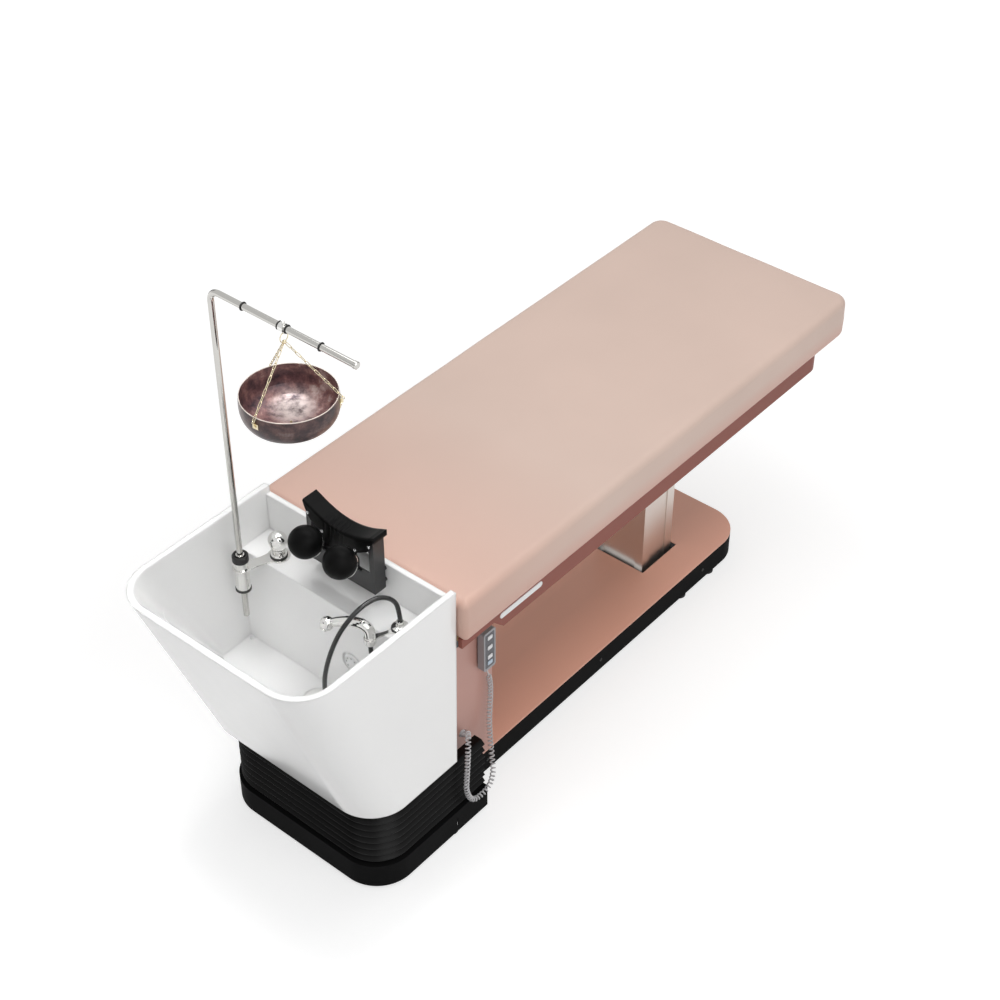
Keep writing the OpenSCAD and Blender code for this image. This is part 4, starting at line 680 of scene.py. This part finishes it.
def pad_outer(y, v):
    """v from -1 at the back edge through 0 at the front edge to 1 at the apron's hem."""
    top, low = pad_top(y), min(pad_hem(y), pad_top(y) - APRON_LEAST)
    if v > 0:
        face = PAD_FACE + CREASE_FACE * crease(y, v) * (1 - v)
        return face, y, top - PAD_ROUND - (top - PAD_ROUND - low) * v
    back = -v * PAD_DEEP
    bend = 1 - min(back / PAD_ROUND, 1)
    droop = DROOP * max(0, abs(y) / PAD_HALF - DROOP_FROM) / DROOP_SPAN
    sunk = PAD_ROUND * (1 - math.sqrt(max(0, 1 - bend * bend)))
    return PAD_FACE + back, y, top - sunk - CREASE_TOP * crease(y, -v) - droop


def pad_inner(y, v):
    x, _, z = pad_outer(y, v)
    return max(x, PAD_FACE + APRON_THICK), y, min(z, pad_top(y) - PAD_THICK)


def neck_rest():
    ys = [PAD_HALF * (2 * c / PAD_COLS - 1) for c in range(PAD_COLS + 1)]
    vs = [-1 + k / TOP_ROWS for k in range(TOP_ROWS)] + list(EDGE_ROWS)
    vs += [k / APRON_ROWS for k in range(APRON_ROWS + 1)]
    vs = sorted(set(round(v, 4) for v in vs))
    verts = [at(*side(y, v)) for side in (pad_outer, pad_inner) for v in vs for y in ys]
    n, rows = len(ys), len(vs)
    off = rows * n  # the inner side's points come after the outer side's
    faces = []
    for r in range(rows - 1):
        for c in range(n - 1):
            a = r * n + c
            faces.append([a, a + 1, a + n + 1, a + n])
            faces.append([off + a, off + a + n, off + a + n + 1, off + a + 1])
    for c in range(n - 1):
        faces.append([c + 1, c, off + c, off + c + 1])
        a = (rows - 1) * n + c
        faces.append([a, a + 1, off + a + 1, off + a])
    for r in range(rows - 1):
        a = r * n
        faces.append([a, a + n, off + a + n, off + a])
        b = r * n + n - 1
        faces.append([b + n, b, off + b, off + b + n])
    return mesh_object("neck_rest_sheet", verts, faces)


# Gaiter, in millimetres of the frame
PLEATS = 7
SLEEVE_CORNER, SLEEVE_DEEP, SLEEVE_SKIN, SLEEVE_FLANGE = 103.4, 12.0, 2.4, 24.0
LEG_STEPS, BEND_STEPS, HEAD_STEPS = 13, 12, 18
RIDGE = ((-1.8, -1.8), (-0.6, -0.8), (-0.3, 0), (-0.6, 0.8), (-1.8, 1.8))  # depth and height
RIDGE_INNER = -2.0
FOLD_FREE = 0.6  # how freely a fold may waver, where a ridge's is 1
WAVER_PLAN, WAVER_RISE = 0.012, 0.09
WAVER_IN, WAVER_UP = 0.5, 0.7
SHARP_DEGREES = 38


def sleeve_path(low, high):
    """Points and outward directions from one open end round the head to the other."""
    half, corner = high.y, SLEEVE_CORNER
    path = []
    for k in range(LEG_STEPS):
        path.append((high.x + (low.x + corner - high.x) * k / LEG_STEPS, -half, 0, -1))
    for k in range(BEND_STEPS + 1):
        a = math.radians(270 - 90 * k / BEND_STEPS)
        path.append((low.x + corner + corner * math.cos(a), -half + corner + corner * math.sin(a),
                     math.cos(a), math.sin(a)))
    back = path[-2::-1]
    for k in range(1, HEAD_STEPS + 1):
        path.append((low.x, (half - corner) * (2 * k / HEAD_STEPS - 1), -1, 0))
    return path + [(x, -y, nx, -ny) for x, y, nx, ny in back]


def sleeve_section(tall):
    """Depth, height and how freely it may waver, of each point round the skin's section."""
    deep, skin, flange = SLEEVE_DEEP, SLEEVE_SKIN, SLEEVE_FLANGE
    pitch = tall / PLEATS
    outer, inner = [(-deep - flange, 0, 0), (-deep, 0, 0)], []
    for i in range(1, 2 * PLEATS):
        z = pitch * i / 2
        if i % 2:
            outer += [(d, z + rise, 1) for d, rise in RIDGE]
        else:
            outer.append((-deep, z, FOLD_FREE))
        inner.append(((RIDGE_INNER if i % 2 else -deep) - skin, z, FOLD_FREE))
    outer += [(-deep, tall, 0), (-deep - flange, tall, 0), (-deep - flange, tall - skin, 0),
              (-deep - skin, tall - skin, 0)]
    return outer + inner[::-1] + [(-deep - skin, skin, 0), (-deep - flange, skin, 0)]


def gaiter_sleeve():
    """The pleated sleeve round the basin's foot, open at the back, folded from one skin."""
    low, high = [Vector(c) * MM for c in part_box("bellows")]
    tall = high.z - low.z
    section = sleeve_section(tall)
    rings = []
    for x, y, nx, ny in sleeve_path(low, high):
        ring = []
        for d, z, free in section:
            waver = free * noise.noise(Vector((x * WAVER_PLAN, y * WAVER_PLAN, z * WAVER_RISE)))
            d2 = d - WAVER_IN * abs(waver)
            ring.append(Vector((x + nx * d2, y + ny * d2, low.z + z + WAVER_UP * waver)) / MM)
        rings.append(ring)
    obj = lofted("bellows_sleeve", rings)
    obj.data.set_sharp_from_angle(angle=math.radians(SHARP_DEGREES))
    run = obj.data.attributes.new("pleat_run", "FLOAT", "POINT")
    for i, v in enumerate(obj.data.vertices):
        run.data[i].value = (v.co.z * MM - low.z) / tall * PLEATS
    return obj, low / MM, tall


sleeve, sleeve_low, sleeve_tall = gaiter_sleeve()
paint(sleeve, "bellows_black")
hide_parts("bellows")
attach(sleeve, "base")
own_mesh(sleeve)

rest = neck_rest()
paint(rest, "pad_rubber")
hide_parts("neck_pad")
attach(rest, "couch")


# ---------------------------------------------------------------- floor and world

FLOOR_HALF = 30
FLOOR_LIT = 0.86  # grey of the floor that lights the object
FLOOR_SHADE = 0.55  # grey of the floor that the eye sees, under its glow
GLOW_NEAR, GLOW_FAR = (1.2, 0.63), (4.5, 0.92)  # distance and strength
SKY_EXTRA, SKY_SEEN, SKY_FILL = 0.25, 0.8, 0.52  # extra is for the camera's own rays

FLOOR_CORNERS = [(-FLOOR_HALF, -FLOOR_HALF, 0), (FLOOR_HALF, -FLOOR_HALF, 0),
                 (FLOOR_HALF, FLOOR_HALF, 0), (-FLOOR_HALF, FLOOR_HALF, 0)]
floor = mesh_object("floor", FLOOR_CORNERS, [[0, 1, 2, 3]], False)


def seen_by_eye(t):
    """1 for what the camera sees directly, in a mirror or through glass."""
    path = node_of(t, "ShaderNodeLightPath").outputs
    direct = number(t, "MAXIMUM", path["Is Camera Ray"], path["Is Glossy Ray"])
    return number(t, "MAXIMUM", direct, path["Is Transmission Ray"])


def pick_by_eye(t, lighting, seen, out):
    """One shader lights the object, and the eye sees the other."""
    pick = node_of(t, "ShaderNodeMixShader")
    t.links.new(seen_by_eye(t), pick.inputs[0])
    t.links.new(lighting.outputs[0], pick.inputs[1])
    t.links.new(seen.outputs[0], pick.inputs[2])
    t.links.new(pick.outputs[0], out.inputs["Surface"])


def floor_material():
    m = bpy.data.materials.new("pale_floor")
    m.use_nodes = True
    t = m.node_tree
    t.nodes.clear()
    plain = node_of(t, "ShaderNodeBsdfDiffuse", Color=grey(FLOOR_LIT))
    shade = node_of(t, "ShaderNodeBsdfDiffuse", Color=grey(FLOOR_SHADE))
    glow = node_of(t, "ShaderNodeEmission")
    away = measure(t, "LENGTH", place_of(t))
    (near, near_level), (far, far_level) = GLOW_NEAR, GLOW_FAR
    t.links.new(ranged(t, away, near, far, near_level, far_level), glow.inputs["Strength"])
    both = node_of(t, "ShaderNodeAddShader")
    t.links.new(shade.outputs[0], both.inputs[0])
    t.links.new(glow.outputs[0], both.inputs[1])
    pick_by_eye(t, plain, both, node_of(t, "ShaderNodeOutputMaterial"))
    return m


floor.data.materials.append(floor_material())

world = bpy.data.worlds.new("studio")
bpy.context.scene.world = world
world.use_nodes = True
sky = world.node_tree
sky.nodes.clear()
sky_seen = node_of(sky, "ShaderNodeBackground", Color=grey(1))
camera_ray = node_of(sky, "ShaderNodeLightPath").outputs["Is Camera Ray"]
sky.links.new(number(sky, "MULTIPLY_ADD", camera_ray, SKY_EXTRA, SKY_SEEN),
              sky_seen.inputs["Strength"])
sky_fill = node_of(sky, "ShaderNodeBackground", Strength=SKY_FILL)
pick_by_eye(sky, sky_fill, sky_seen, node_of(sky, "ShaderNodeOutputWorld"))


# ---------------------------------------------------------------- lights and flags

# Name: place, aim, size, watts
LIGHTS = {
    "top_softbox": ((0.4, 0.1, 3.9), (0.2, 0, 0.6), (3.0, 2.0), 48),
    "basin_softbox": ((-1.0, 0.1, 3.1), (-0.95, 0, 0.6), (0.5, 0.8), 1.05),
    "key_softbox": ((-1.5, -3.2, 3.7), (-0.1, 0, 0.5), (3.2, 2.6), 48),
    "near_softbox": ((-0.5, -3.9, 1.3), (0.0, 0, 0.35), (3.6, 1.8), 13),
}
SPREAD = {"basin_softbox": 28}  # degrees, where the beam is narrowed
# Name: place, turn in degrees, size
FLAGS = {
    "flag_far": ((0.6, 3.6, 1.6), 0, (1.6, 3.0)),
    "flag_head": ((-4.2, 1.4, 1.6), 75, (1.4, 3.0)),
    "flag_near": ((-1.2, -4.6, 1.4), 10, (0.9, 2.6)),
    "flag_foot": ((4.6, -1.6, 1.4), 80, (1.6, 2.6)),
}
FLAG_GREY = 0.02


def area(name, place, aim, size, power):
    data = bpy.data.lights.new(name, "AREA")
    data.shape = "RECTANGLE"
    data.size, data.size_y = size
    data.energy = power
    if name in SPREAD:
        data.spread = math.radians(SPREAD[name])
    obj = bpy.data.objects.new(name, data)
    bpy.context.scene.collection.objects.link(obj)
    obj.location = place
    obj.rotation_euler = (Vector(aim) - Vector(place)).to_track_quat("-Z", "Y").to_euler()


def flag(name, place, turn, size):
    """A dark studio flag, seen only in reflections, which gives bright metal its dark lines."""
    w, h = size[0] / 2, size[1] / 2
    corners = [(-w, 0, -h), (w, 0, -h), (w, 0, h), (-w, 0, h)]
    obj = mesh_object(name, corners, [[0, 1, 2, 3]], False)
    obj.location = place
    obj.rotation_euler = (0, 0, math.radians(turn))
    dark = bpy.data.materials.new(name + "_cloth")
    dark.use_nodes = True
    shader = dark.node_tree.nodes["Principled BSDF"]
    shader.inputs["Base Color"].default_value = grey(FLAG_GREY)
    shader.inputs["Roughness"].default_value = 1
    obj.data.materials.append(dark)
    obj.visible_camera = False
    obj.visible_diffuse = False
    obj.visible_shadow = False
    obj.visible_transmission = False


for name, settings in LIGHTS.items():
    area(name, *settings)
for name, settings in FLAGS.items():
    flag(name, *settings)

bpy.context.scene.view_settings.view_transform = "Standard"
